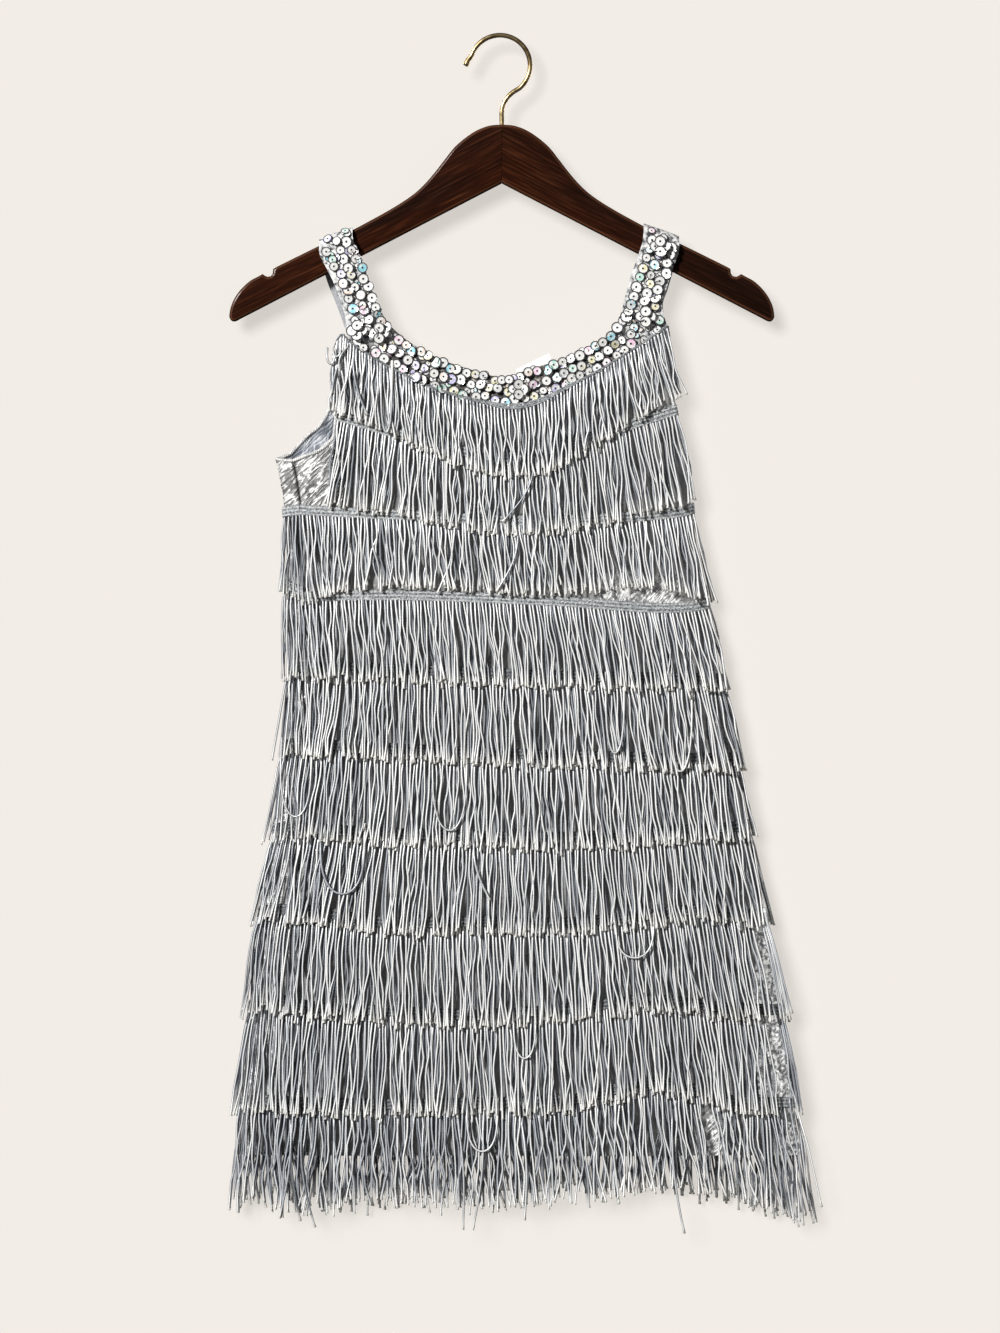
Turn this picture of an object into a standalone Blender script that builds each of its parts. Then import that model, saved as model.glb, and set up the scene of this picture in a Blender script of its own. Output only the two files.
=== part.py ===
"""A silver fringed tank dress hanging on a dark wooden hanger with a brass hook.

Metres, +Z up. The origin is the top of the inside of the hook, where it sits on its rail.
The front faces -Y, and left and right are as seen from the front. Every table is in millimetres.
"""

import math

import bmesh
import bpy
import numpy as np

MM = 0.001

# Cloth and trim
CLOTH = 1.2 * MM
BAND = 1.8 * MM
SEAM = 0.3 * MM
SHOULDER_GAP = 0.3 * MM
HEM = -915 * MM
ARMHOLE_BASE = -347 * MM
LEFT_SEAM = -0.75
RIGHT_SEAM = 1.0
# Half of a seam's gap as a share of a quarter turn, on the flat of the oval and at its sharp edge
HALF_SEAM_LEFT, HALF_SEAM_RIGHT = 0.0015, 0.008
COLUMNS = 16
BUST_ROWS = 8
SMOOTH_UNDER = 40
# Metres for one unit of place round the oval, so that distances along an armhole come out right
ROUND_TO_UP = np.array((0.2, 1))
TIER_LAP = 8 * MM
# How far down a tier its section's rows lie, above the row at the tips
TIER_ROWS = (0, 12 * MM, 40 * MM)
# Each strap bends over the hanger's arm: it leaves the oval this far below the arm's top edge, then rises
STRAP_LIFT = 4 * MM
STRAP_RISE = MM * np.array([5.2, 7.0, 9.0])
STRAP_BENDS = np.radians([30, 60, 90])

# Hanger and hook
STEM_X = 1.5 * MM
WOOD_THICK = 12 * MM
WOOD_ROUND = 2.5 * MM
JOINT_GAP = 0.3 * MM
HOOK_INSIDE = 22.7 * MM
WIRE = 3.6 * MM
SHANK_DEPTH = 15 * MM
HOOK_ROUND = np.arange(160, -51, -10)
# x, z and thickness of the tip, and x, z of the curl back over the stem
HOOK_TIP = ((-0.0283, -0.0233, 0.9), (-0.0272, -0.0205, 1.25), (-0.0258, -0.0175, 1.1))
HOOK_CURL = ((0.0108, -0.0447), (0.0061, -0.0491), (0.0029, -0.0545), (STEM_X, -0.0605))

# Label in the back neck
LABEL_CENTRE = (30 * MM, -272 * MM)
LABEL_SIZE = (30 * MM, 16 * MM)
LABEL_TILT = math.radians(26)
LABEL_THICK = 0.6 * MM

# height, left edge, right edge, half depth between the front and back walls
SECTIONS = MM * np.array([
    (-160, -230, 230, 10.0),
    (-240, -214, 206, 12.0),
    (-300, -196, 176, 13.0),
    (-347, -182, 153, 13.5),
    (-385, -175.5, 156, 14.0),
    (-460, -173.5, 168, 15.0),
    (-526, -171, 181, 15.5),
    (-588, -176, 192, 16.0),
    (-656, -184, 203, 17.0),
    (-723, -196, 215, 18.0),
    (-796, -203, 228, 18.5),
    (-878, -211, 240, 19.0),
    (-915, -213, 245, 19.5),
    (-965, -216, 252, 20.0),
])

# place round the body, spread, bulge outwards in mm at the hem, height in mm where it starts
FOLDS = (
    (-0.50, 0.16, 3.5, -526),
    (-0.12, 0.18, -3.0, -588),
    (0.24, 0.15, 4.0, -526),
    (0.52, 0.13, -4.0, -588),
    (0.78, 0.14, 3.0, -460),
    (1.40, 0.16, 3.5, -588),
    (1.80, 0.18, -3.5, -526),
    (2.22, 0.16, 4.0, -588),
    (2.62, 0.15, -3.0, -526),
)

# Neckband stations from the left strap's top to the right one's: neck edge x, z, outer edge x, z.
# The outer corners, where the straps turn into the band, are rows 4 and 16.
NECKBAND = MM * np.array([
    (-120.8, -166, -148.0, -178),
    (-114.5, -181, -142.7, -188),
    (-108.3, -196, -135.8, -202),
    (-101.0, -218, -129.0, -220),
    (-90.6, -236, -122.7, -250),
    (-78.0, -247, -104.7, -262),
    (-63.5, -256.5, -82.6, -274.5),
    (-46.7, -265, -58.9, -286),
    (-30.0, -270.5, -36.0, -293.5),
    (-13.3, -275.5, -14.7, -298.5),
    (3.3, -279, 6.5, -301.5),
    (24.2, -272, 31.1, -297.5),
    (45.1, -266, 55.6, -286),
    (65.9, -257, 76.9, -275.5),
    (82.6, -248, 97.3, -263),
    (97.3, -233.5, 115.3, -251.5),
    (101.4, -223, 136.6, -237),
    (103.5, -216, 131.7, -219),
    (109.8, -198, 135.4, -205),
    (115.0, -181, 141.0, -188),
    (119.2, -165, 146.3, -176),
])
LEFT_CORNER, RIGHT_CORNER = 4, 16
# How far the back strap stands wider than the front one, at each outer point of a strap
BACK_STRAP_EXTRA = MM * np.array([0, 2.5, 5.0, 4.5, 0])

# Armhole edges from the side seam up to the band's corner: x, z
ARMHOLES = {
    "front_left": MM * np.array([
        (-156, -342), (-146.8, -338), (-139.3, -331.6), (-135.5, -324.8), (-132.5, -297), (-128.4, -272.8),
    ]),
    "front_right": MM * np.array([(150, -337), (145, -322), (141.5, -297), (139.5, -268)]),
    "back_left": MM * np.array([
        (-177, -343.4), (-166.5, -335.4), (-157.5, -325.6), (-146.8, -318), (-134.7, -307), (-127, -280),
    ]),
    "back_right": MM * np.array([(150, -337), (145, -322), (141.5, -297), (139.5, -268)]),
}

# Fringe tiers: tip heights at five even stations from left to right
TIPS = MM * np.array([
    (-310, -337, -358, -336, -292),
    (-383, -395, -407, -398, -378),
    (-461, -449, -457, -458, -465),
    (-526, -528, -533, -535, -536),
    (-588, -593, -598, -601, -598),
    (-656, -662, -664, -657, -657),
    (-723, -729, -727, -724, -727),
    (-796, -807, -804, -796, -806),
    (-878, -885, -878, -856, -878),
    (-948, -952, -944, -934, -964),
])
# Header heights of the tiers whose braid shows; the first follows the neckband, the rest the tips above them
HEADERS = {
    2: MM * np.array((-311, -330, -344, -328, -307)),
    3: MM * np.array((-383, -387, -392, -388, -381)),
    4: MM * np.array((-454, -455, -460, -467, -461)),
}
# The two bust tiers hang between the armholes: x of the left and right ends at the header and at the tips
BUST_ENDS = {
    1: MM * np.array((-124.0, 137.0, -141.0, 149.5)),
    2: MM * np.array((-133.0, 144.0, -136.0, 160.5)),
}
# Cords past this share of the half width hang straight on, off the side of the body
OFF_THE_SIDE = 0.93
# Section of a tier: distance below its top, distance of its inner and outer faces from the body line
TIER_SECTION = MM * np.array([(0, 1.6, 4.0), (12, 1.6, 4.2), (40, 4.7, 7.6), (80, 5.6, 8.6)])

# Top edge of a hanger half: distance from the joint, height
BELL_AND_ARM = (
    (0, -71.5), (9.9, -72.4), (19.8, -76), (29.2, -82), (38.5, -90), (46.5, -100), (54, -109.7), (62.1, -119.2),
    (70.8, -127.5), (80.7, -134.6), (92, -141.5), (105.8, -149.2), (123.6, -158.6), (150, -171.1), (183.8, -187.8),
)
STRAP_NOTCH = (
    (187.1, -189.7), (187.5, -193.6), (189, -195.6), (191.7, -196.2), (193.9, -195.3), (195.7, -193.9),
)
ARM_END = (
    (199.2, -195.8), (206.4, -199.8), (213.2, -206.1), (218.3, -213), (221.7, -220.5), (223, -228), (222, -234.6),
)
UNDERSIDE_APEX = (0, -119.5)
HANGER_OUTLINE = MM * np.array(BELL_AND_ARM + STRAP_NOTCH + ARM_END + (UNDERSIDE_APEX,))


def clear_scene():
    for item in list(bpy.data.objects):
        bpy.data.objects.remove(item, do_unlink=True)


def finish(name, colour, roughness, metallic=0.0):
    """A Principled material."""
    material = bpy.data.materials.new(name)
    material.use_nodes = True
    shader = material.node_tree.nodes["Principled BSDF"]
    shader.inputs["Base Color"].default_value = (*colour, 1)
    shader.inputs["Roughness"].default_value = roughness
    shader.inputs["Metallic"].default_value = metallic
    return material


def add_mesh(name, points, faces, material):
    """A named object from points and faces, with its faces turned outwards."""
    mesh = bpy.data.meshes.new(name)
    mesh.from_pydata(points, [], faces)
    work = bmesh.new()
    work.from_mesh(mesh)
    bmesh.ops.recalc_face_normals(work, faces=work.faces)
    work.to_mesh(mesh)
    work.free()
    mesh.shade_smooth()
    mesh.set_sharp_from_angle(angle=math.radians(SMOOTH_UNDER))
    mesh.materials.append(material)
    item = bpy.data.objects.new(name, mesh)
    bpy.context.scene.collection.objects.link(item)
    return item


def wall(name, inner, outer, material):
    """A closed wall between two grids of points of the same size."""
    rows, columns = inner.shape[:2]
    index = np.arange(rows * columns).reshape(rows, columns)
    skin = np.stack([index[:-1, :-1], index[:-1, 1:], index[1:, 1:], index[1:, :-1]], -1).reshape(-1, 4)
    border = np.concatenate([index[0, :-1], index[:-1, -1], index[-1, :0:-1], index[:0:-1, 0]])
    after = np.roll(border, -1)
    rim = np.stack([border, after, after + index.size, border + index.size], -1)
    faces = np.concatenate([skin, skin[:, ::-1] + index.size, rim])
    points = np.concatenate([inner.reshape(-1, 3), outer.reshape(-1, 3)])
    return add_mesh(name, points.tolist(), faces.tolist(), material)


def section(height):
    """Centre, half width and half depth of the garment at a height, straight between the table's rows."""
    table = SECTIONS[::-1]
    left, right, depth = (np.interp(height, table[:, 0], table[:, column]) for column in (1, 2, 3))
    return (left + right) / 2, (right - left) / 2, depth


def fold(around, height):
    """How far the soft folds bulge the cloth outwards: each grows evenly from its start to the hem."""
    total = np.zeros(np.broadcast(around, height).shape)
    for place, spread, bulge, start in FOLDS:
        away = (around - place + 2) % 4 - 2
        grown = np.clip((start * MM - height) / (start * MM - HEM), 0, 1.2)
        total += bulge * MM * grown * np.exp(-((away / spread) ** 2))
    return total


def cloth(around, height, out=0.0):
    """Points on the garment's flat oval.

    around is 0 at the middle of the front, 1 at the right edge, 2 at the middle of the back and 3, or -1,
    at the left edge. out moves them outwards, square to the oval.
    """
    centre, half, depth = section(height)
    turn = around * math.pi / 2
    normal = np.stack([depth * np.sin(turn), -half * np.cos(turn)])
    normal /= np.hypot(*normal)
    x = centre + half * np.sin(turn) + out * normal[0]
    y = -(depth + fold(around, height)) * np.cos(turn) + out * normal[1]
    return np.stack([x, y, np.broadcast_to(height, x.shape)], -1)


def around_at(x, height, back=False):
    """Where on the oval an x lies, at the front or at the back."""
    centre, half, _ = section(height)
    place = np.arcsin(np.clip((x - centre) / half, -1, 1)) * 2 / math.pi
    return 2 - place if back else place


def seam_to_seam(back):
    """Places round the oval from one side seam to the other, going the way around grows."""
    left, right = LEFT_SEAM + HALF_SEAM_LEFT, RIGHT_SEAM - HALF_SEAM_RIGHT
    if back:
        left, right = RIGHT_SEAM + HALF_SEAM_RIGHT, 4 + LEFT_SEAM - HALF_SEAM_LEFT
    return np.linspace(left, right, COLUMNS + 1)


def spread_along(points, count):
    """Points spaced evenly along a run of straight stretches, kept to its ends."""
    steps = np.hypot(*np.diff(points, axis=0).T)
    length = np.concatenate([[0], np.cumsum(steps)])
    places = np.linspace(0, length[-1], count)
    return np.stack([np.interp(places, length, points[:, axis]) for axis in range(points.shape[1])], -1)


def smooth_rows(rows, count):
    """Rows resampled evenly by number on a Catmull-Rom curve through them."""
    padded = np.concatenate([[2 * rows[0] - rows[1]], rows, [2 * rows[-1] - rows[-2]]])
    places = np.linspace(0, len(rows) - 1, count)
    start = np.minimum(places.astype(int), len(rows) - 2)
    t = (places - start)[:, None]
    a, b, c, d = (padded[start + step] for step in range(4))
    return 0.5 * (2 * b + (c - a) * t + (2 * a - 5 * b + 4 * c - d) * t**2 + (3 * b - a - 3 * c + d) * t**3)


def smooth_line(heights):
    """Heights at the columns of a tier, on a smooth curve through its five stations."""
    return smooth_rows(heights[:, None], COLUMNS + 1)[:, 0]


def band_stations(back):
    """The neckband's stations: strap, smooth scoop of COLUMNS stretches, strap."""
    table = NECKBAND.copy()
    if back:
        table[: LEFT_CORNER + 1, 2] -= BACK_STRAP_EXTRA
        table[RIGHT_CORNER:, 2] += BACK_STRAP_EXTRA[::-1]
    scoop = smooth_rows(table[LEFT_CORNER : RIGHT_CORNER + 1], COLUMNS + 1)
    return np.concatenate([table[:LEFT_CORNER], scoop, table[RIGHT_CORNER + 1 :]])


def arm_top(x):
    """Height of the top edge of the hanger at an x."""
    edge = MM * np.array(BELL_AND_ARM)
    return np.interp(np.abs(x - STEM_X), edge[:, 0], edge[:, 1])


def build_panel(name, back, material):
    """Front or back: the body below the armholes, and the bust between the armholes and the neckband."""
    scoop = band_stations(back)[LEFT_CORNER : LEFT_CORNER + COLUMNS + 1, 2:]
    columns = seam_to_seam(back)
    if back:
        scoop = scoop[::-1]
    body_heights = SECTIONS[(SECTIONS[:, 0] >= HEM) & (SECTIONS[:, 0] <= ARMHOLE_BASE), 0][::-1]
    body = np.stack(np.broadcast_arrays(columns[None, :], body_heights[:, None]), -1)

    sides = ("back_right", "back_left") if back else ("front_left", "front_right")
    top = np.stack([around_at(scoop[:, 0], scoop[:, 1], back), scoop[:, 1] - SEAM], -1)
    bottom = np.stack([columns, np.full(len(columns), ARMHOLE_BASE)], -1)
    edges = []
    for side, first, last in zip(sides, (bottom[0], bottom[-1]), (top[0], top[-1])):
        x, z = ARMHOLES[side].T
        between = np.stack([around_at(x, z, back), z], -1)
        edge = np.concatenate([[first], between, [last]]) * ROUND_TO_UP
        edges.append(spread_along(edge, BUST_ROWS + 1) / ROUND_TO_UP)
    across = np.linspace(0, 1, COLUMNS + 1)[None, :, None]
    up = np.linspace(0, 1, BUST_ROWS + 1)[:, None, None]
    sideways = edges[0][:, None] * (1 - across) + edges[1][:, None] * across
    upwards = bottom[None] * (1 - up) + top[None] * up
    corners = (bottom[0] * (1 - across) + bottom[-1] * across) * (1 - up) + (
        top[0] * (1 - across) + top[-1] * across
    ) * up
    bust = sideways + upwards - corners

    grid = np.concatenate([body, bust[1:]])
    around, height = grid[..., 0], grid[..., 1]
    return wall(name, cloth(around, height), cloth(around, height, CLOTH), material)


def build_band(name, back, material):
    """The neckband with its two straps, which bend over the hanger's arms to the shoulder seams."""
    stations = band_stations(back)
    across = np.linspace(0, 1, 3)[None, :]
    x = stations[:, 0:1] * (1 - across) + stations[:, 2:3] * across
    z = stations[:, 1:2] * (1 - across) + stations[:, 3:4] * across
    for end in (0, -1):
        z[end] = arm_top(x[end]) - STRAP_LIFT
    around = around_at(x, z, back)
    inner, outer = cloth(around, z), cloth(around, z, BAND)
    side = 1 if back else -1
    for end in (0, -1):
        reach = np.abs(inner[end, :, 1])
        bend_inner, bend_outer = [], []
        for turn in STRAP_BENDS:
            normal = np.stack([0 * reach, side * STRAP_RISE * math.cos(turn), reach * math.sin(turn)], -1)
            normal /= np.linalg.norm(normal, axis=1)[:, None]
            across_y = np.maximum(reach * math.cos(turn), SHOULDER_GAP / 2) * side
            row = np.stack([x[end], across_y, z[end] + STRAP_RISE * math.sin(turn)], -1)
            bend_inner.append(row)
            bend_outer.append(row + normal * BAND)
        if end == 0:
            inner = np.concatenate([bend_inner[::-1], inner])
            outer = np.concatenate([bend_outer[::-1], outer])
        else:
            inner = np.concatenate([inner, bend_inner])
            outer = np.concatenate([outer, bend_outer])
    return wall(name, inner, outer, material)


def build_tier(number, back, material):
    """One length of fringe trim: its woven header lies on the panel, and the cords fall clear of the next header."""
    share = np.linspace(0, 1, COLUMNS + 1)
    tips = smooth_line(TIPS[number - 1])
    if number in BUST_ENDS:
        top_left, top_right, tip_left, tip_right = BUST_ENDS[number]
        x_top = top_left + (top_right - top_left) * share
        x_tip = tip_left + (tip_right - tip_left) * share
    if number == 1:
        scoop = band_stations(back)[LEFT_CORNER : LEFT_CORNER + COLUMNS + 1]
        x_top, header = scoop[:, 2], scoop[:, 3] - 2 * SEAM
    elif number in HEADERS:
        header = smooth_line(HEADERS[number])
    else:
        header = smooth_line(TIPS[number - 2] + TIER_LAP)
    drop = header - tips
    down = np.stack([*(np.full_like(drop, row) for row in TIER_ROWS), drop])
    height = header - down
    if number in BUST_ENDS:
        x = x_top + (x_tip - x_top) * down / drop
        centre, half, _ = section(height)
        on_body = centre + np.clip(x - centre, -OFF_THE_SIDE * half, OFF_THE_SIDE * half)
        around, past_side = around_at(on_body, height, back), x - on_body
    else:
        around, past_side = np.broadcast_to(seam_to_seam(back)[:: -1 if back else 1], height.shape), 0
    faces = []
    for column in (1, 2):
        face = cloth(around, height, np.interp(down, TIER_SECTION[:, 0], TIER_SECTION[:, column]))
        face[..., 0] += past_side
        faces.append(face)
    return wall(f"fringe_{'back' if back else 'front'}_{number:02d}", *faces, material)


def build_label(material):
    """A small blank label standing up from inside the back neckband."""
    along, up = np.meshgrid(np.linspace(-0.5, 0.5, 4) * LABEL_SIZE[0], np.linspace(-0.5, 0.5, 3) * LABEL_SIZE[1])
    x = LABEL_CENTRE[0] + along * math.cos(LABEL_TILT) - up * math.sin(LABEL_TILT)
    z = LABEL_CENTRE[1] + along * math.sin(LABEL_TILT) + up * math.cos(LABEL_TILT)
    around = around_at(x, z, back=True)
    return wall("neck_label", cloth(around, z, -SEAM - LABEL_THICK), cloth(around, z, -SEAM), material)


def inset(outline, distance):
    """The hanger half's outline moved inwards, its two ends kept on the joint."""
    mirror = np.array((-1, 1))
    padded = np.concatenate([[outline[1] * mirror], outline, [outline[-2] * mirror]])
    run = np.diff(padded, axis=0)
    run /= np.hypot(*run.T)[:, None]
    normal = np.stack([-run[:, 1], run[:, 0]], -1)
    before, after = normal[:-1], normal[1:]
    mitre = (before + after) / (1 + (before * after).sum(1))[:, None]
    return outline - distance * mitre


def build_hanger_half(side, material):
    """One arm with its half of the bell, flat with rounded edges, drilled for half of the hook's shank."""
    round_steps = np.radians([90, 45, 0])
    half = WOOD_THICK / 2
    layers = [(WOOD_ROUND * (1 - math.cos(a)), half - WOOD_ROUND + WOOD_ROUND * math.sin(a)) for a in round_steps]
    layers = [(step, -y) for step, y in layers] + layers[::-1]
    rings = []
    for step, y in layers:
        ring = inset(HANGER_OUTLINE, step)
        x = STEM_X + side * (ring[:, 0] + JOINT_GAP / 2)
        rings.append(np.stack([x, np.full(len(ring), y), ring[:, 1]], -1))
    count = len(HANGER_OUTLINE)
    index = np.arange(len(rings) * count).reshape(len(rings), count)
    faces = []
    for lower, upper in zip(index[:-1], index[1:]):
        faces += [[lower[i], lower[i - 1], upper[i - 1], upper[i]] for i in range(count)]
    faces += [list(index[0]), list(index[-1][::-1])]
    points = np.concatenate(rings).tolist()
    name = "hanger_left" if side < 0 else "hanger_right"
    return add_mesh(name, points, [[int(i) for i in face] for face in faces], material)


def drill_for_shank(halves):
    """The hole for the hook's shank, half of it in each arm."""
    bell_top = BELL_AND_ARM[0][1] * MM
    bpy.ops.mesh.primitive_cylinder_add(
        vertices=12, radius=WIRE / 2 + SEAM, depth=2 * (SHANK_DEPTH + SEAM), location=(STEM_X, 0, bell_top)
    )
    drill = bpy.context.object
    drill.name = "shank_drill"
    drill.hide_render = True
    drill.display_type = "WIRE"
    for half in halves:
        cut = half.modifiers.new("shank hole", "BOOLEAN")
        cut.operation = "DIFFERENCE"
        cut.object = drill


def build_hook(material):
    """The wire hook: a flared tip, the round over the rail, a curl back over the stem, and the shank."""
    radius = HOOK_INSIDE + WIRE / 2
    bell_top = BELL_AND_ARM[0][1] * MM
    points = list(HOOK_TIP)
    for angle in np.radians(HOOK_ROUND):
        points.append((radius * math.cos(angle), radius * math.sin(angle) - HOOK_INSIDE, 1.0))
    points += [(x, z, 1.0) for x, z in (*HOOK_CURL, (STEM_X, bell_top + 0.002), (STEM_X, bell_top - SHANK_DEPTH))]
    curve = bpy.data.curves.new("hanger_hook", "CURVE")
    curve.dimensions = "3D"
    curve.bevel_depth = WIRE / 2
    curve.bevel_resolution = 3
    curve.use_fill_caps = True
    curve.materials.append(material)
    path = curve.splines.new("POLY")
    path.points.add(len(points) - 1)
    for point, (x, z, size) in zip(path.points, points):
        point.co = (x, 0, z, 1)
        point.radius = size
    path.use_smooth = True
    hook = bpy.data.objects.new("hanger_hook", curve)
    bpy.context.scene.collection.objects.link(hook)
    return hook


def build():
    clear_scene()
    satin = finish("silver_satin", (0.42, 0.43, 0.45), 0.35, 0.3)
    fringe = finish("silver_fringe", (0.50, 0.52, 0.55), 0.4)
    sequins = finish("sequin_band", (0.80, 0.80, 0.78), 0.25, 0.1)
    label = finish("label_white", (0.88, 0.87, 0.84), 0.7)
    wood = finish("dark_wood", (0.055, 0.022, 0.014), 0.35)
    brass = finish("antique_brass", (0.42, 0.29, 0.10), 0.35, 1.0)

    build_panel("front_panel", False, satin)
    build_panel("back_panel", True, satin)
    build_band("neckband_front", False, sequins)
    build_band("neckband_back", True, satin)
    build_label(label)
    for number in range(1, len(TIPS) + 1):
        build_tier(number, False, fringe)
        build_tier(number, True, fringe)
    drill_for_shank([build_hanger_half(side, wood) for side in (-1, 1)])
    build_hook(brass)


build()
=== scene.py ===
"""A silver fringed tank dress on a dark wooden hanger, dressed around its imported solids.

Metres, +Z up, the front faces -Y, the origin is the hook's seat on its rail, and left and right are as seen
from the front. Tables are in millimetres and are turned to metres where they are read.
"""

import math

import bpy
import numpy as np
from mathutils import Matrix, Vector


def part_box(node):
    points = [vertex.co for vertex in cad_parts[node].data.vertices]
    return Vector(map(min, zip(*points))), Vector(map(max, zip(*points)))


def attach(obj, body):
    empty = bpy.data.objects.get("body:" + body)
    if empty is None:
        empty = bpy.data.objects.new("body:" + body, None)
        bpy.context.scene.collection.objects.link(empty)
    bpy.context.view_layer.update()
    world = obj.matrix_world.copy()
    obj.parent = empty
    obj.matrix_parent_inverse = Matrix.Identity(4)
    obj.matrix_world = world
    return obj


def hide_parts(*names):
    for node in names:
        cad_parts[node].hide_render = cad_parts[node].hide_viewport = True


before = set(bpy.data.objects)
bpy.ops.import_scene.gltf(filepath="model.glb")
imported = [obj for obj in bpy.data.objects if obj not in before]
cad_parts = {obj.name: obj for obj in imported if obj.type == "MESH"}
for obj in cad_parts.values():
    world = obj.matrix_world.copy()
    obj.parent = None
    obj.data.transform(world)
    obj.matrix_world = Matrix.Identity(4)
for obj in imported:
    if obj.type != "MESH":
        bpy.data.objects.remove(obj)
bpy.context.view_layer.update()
MM = 0.001


# ---------------------------------------------------------------- front and back panels
# Two panels of crinkled silver foil satin, sewn at the side seams into a flat tube that hangs from the
# straps. Both are cut to the armholes and to a scooped neckband. The cloth is thin, and its inside is a
# smooth blue grey, with its folds painted on in light and shade.

# Whether a side is the back, and its name
SIDES = ((False, "front"), (True, "back"))
CLOTH, PANEL_OUT = 0.8 * MM, 0.2 * MM
LEFT_SEAM = -0.75
RIGHT_SEAM = 1.0
HALF_SEAM = 0.0015
ARMHOLE_BASE = -347 * MM
BARE_SIDE = -392 * MM
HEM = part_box("front_panel")[0][2]
# Where the fringe leaves the satin bare: left, right, lowest, highest, and how much painted light it has
# there, as a paler colour and a glow
BARE = (
    (-230, -124, -386, -250, 0.0), (82, 150, -474, -440, 0.45), (208, 245, -880, -730, 1.0),
    (226, 262, -960, -885, 1.0), (160, 184, -930, -880, 0.5),
)
BARE_FADE = 5 * MM

# The panels' grid: squares across, closer at the sides, then rows up the body, the bare side and the bust
PANEL_COLUMNS, CLOSER_AT_SIDES = 140, 0.08
BODY_ROWS, SIDE_ROWS, BUST_ROWS = 120, 30, 44
# Metres of cloth to a unit round the oval, roughly, and points to a long curve before it is spaced
UNIT_AROUND, CURVE_POINTS = 0.2, 60
# Faces that meet at more than this have a sharp edge between them
SHARP_CLOTH = math.radians(60)
# Squares to a side of the lattice that smooth noise is drawn on
LATTICE = 64

# Long creases of the satin: length, width, and the way they run, across and up
CREASE_LONG, CREASE_WIDE, CREASE_RUN = 26 * MM, 6.2 * MM, (0.62, 0.78)
# How far they wander, over what width and height, and the width and height of the ripples on them
CREASE_BEND, BEND_SIZE, RIPPLE_SIZE = 6 * MM, (19 * MM, 17 * MM), (9 * MM, 8 * MM)
# How tall creases and ripples are under the fringe, and where the cloth is bare
LOW_CREASES, TALL_CREASES = (0.35 * MM, 0.2 * MM), (0.9 * MM, 0.4 * MM)
# Powers that sharpen their crests, how far they are lowered, and where on the noise's lattice they start
CREST_POWERS, LOWERED, CREASE_START, RIPPLE_START = (3, 2), (0.3, 0.4), (9, 7), 3
# Each quarter of the oval has its creases from this much further along
QUARTER_SHIFT = 0.1
SEAM_DEPTH, SEAM_SPREAD = 1.0 * MM, 0.012

# height, left edge, right edge, half depth
SECTIONS = MM * np.array([
    (-160, -230, 230, 10.0), (-240, -214, 206, 12.0), (-300, -196, 176, 13.0), (-347, -182, 153, 13.5),
    (-385, -175.5, 156, 14.0), (-460, -173.5, 168, 15.0), (-526, -171, 181, 15.5), (-588, -176, 192, 16.0),
    (-656, -184, 203, 17.0), (-723, -196, 215, 18.0), (-796, -203, 228, 18.5), (-878, -211, 240, 19.0),
    (-915, -213, 245, 19.5), (-965, -216, 252, 20.0),
])[::-1]

# place round the body, spread, bulge at the hem in mm, height in mm where it starts
FOLDS = (
    (-0.50, 0.16, 3.5, -526), (-0.12, 0.18, -3.0, -588), (0.24, 0.15, 4.0, -526), (0.52, 0.13, -4.0, -588),
    (0.78, 0.14, 3.0, -460), (1.40, 0.16, 3.5, -588), (1.80, 0.18, -3.5, -526), (2.22, 0.16, 4.0, -588),
    (2.62, 0.15, -3.0, -526),
)
# Below the hem, where only cords hang, a fold grows on to this share of its bulge
FOLD_MOST = 1.2

# Neckband from the left strap's top to the right one's: neck edge x, z, outer edge x, z
NECKBAND = MM * np.array([
    (-120.8, -166, -148.0, -178), (-114.5, -181, -142.7, -188), (-108.3, -196, -135.8, -202),
    (-101.0, -218, -129.0, -220), (-90.6, -236, -122.7, -250), (-78.0, -247, -104.7, -262),
    (-63.5, -256.5, -82.6, -274.5), (-46.7, -265, -58.9, -286), (-30.0, -270.5, -36.0, -293.5),
    (-13.3, -275.5, -14.7, -298.5), (3.3, -279, 6.5, -301.5), (24.2, -272, 31.1, -297.5),
    (45.1, -266, 55.6, -286), (65.9, -257, 76.9, -275.5), (82.6, -248, 97.3, -263),
    (97.3, -233.5, 115.3, -251.5), (100.2, -223, 136.6, -237), (101.6, -216, 132.2, -219),
    (106.3, -198, 136.4, -205), (112.3, -181, 142.0, -188), (117.6, -165, 146.6, -176),
])
LEFT_CORNER, RIGHT_CORNER = 4, 16
BACK_STRAP_EXTRA = MM * np.array([0, 2.5, 5.0, 4.5, 0])
RIGHT_SHARE = 0.3

# Armhole edges from the side seam up to the band's corner: x, z
FRONT_LEFT_ARMHOLE = MM * np.array([
    (-156, -342), (-146.8, -338), (-139.3, -331.6), (-135.5, -324.8), (-132.5, -297), (-128.4, -272.8)])
BACK_LEFT_ARMHOLE = MM * np.array([
    (-177, -343.4), (-166.5, -335.4), (-157.5, -325.6), (-148, -318), (-140.5, -305), (-134, -279)])
RIGHT_ARMHOLE = MM * np.array([(150, -337), (145, -322), (141.5, -297), (139.5, -268)])


def through(at, places, values):
    """A smooth curve through points: cubic Hermite pieces, sloped at each point as its neighbours lie."""
    slope = np.gradient(values, places)
    left = np.clip(np.searchsorted(places, at) - 1, 0, len(places) - 2)
    step = places[left + 1] - places[left]
    t = np.clip((at - places[left]) / step, 0, 1)
    rise = values[left] * (1 + 2 * t) * (1 - t) ** 2 + values[left + 1] * t * t * (3 - 2 * t)
    return rise + step * (slope[left] * t * (1 - t) ** 2 - slope[left + 1] * t * t * (1 - t))


def rows_through(rows, count):
    """Rows of numbers resampled evenly by row, each column on a smooth curve through its values."""
    places = np.arange(len(rows), dtype=float)
    at = np.linspace(0, len(rows) - 1, count)
    return np.stack([through(at, places, column) for column in rows.T], -1)


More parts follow.
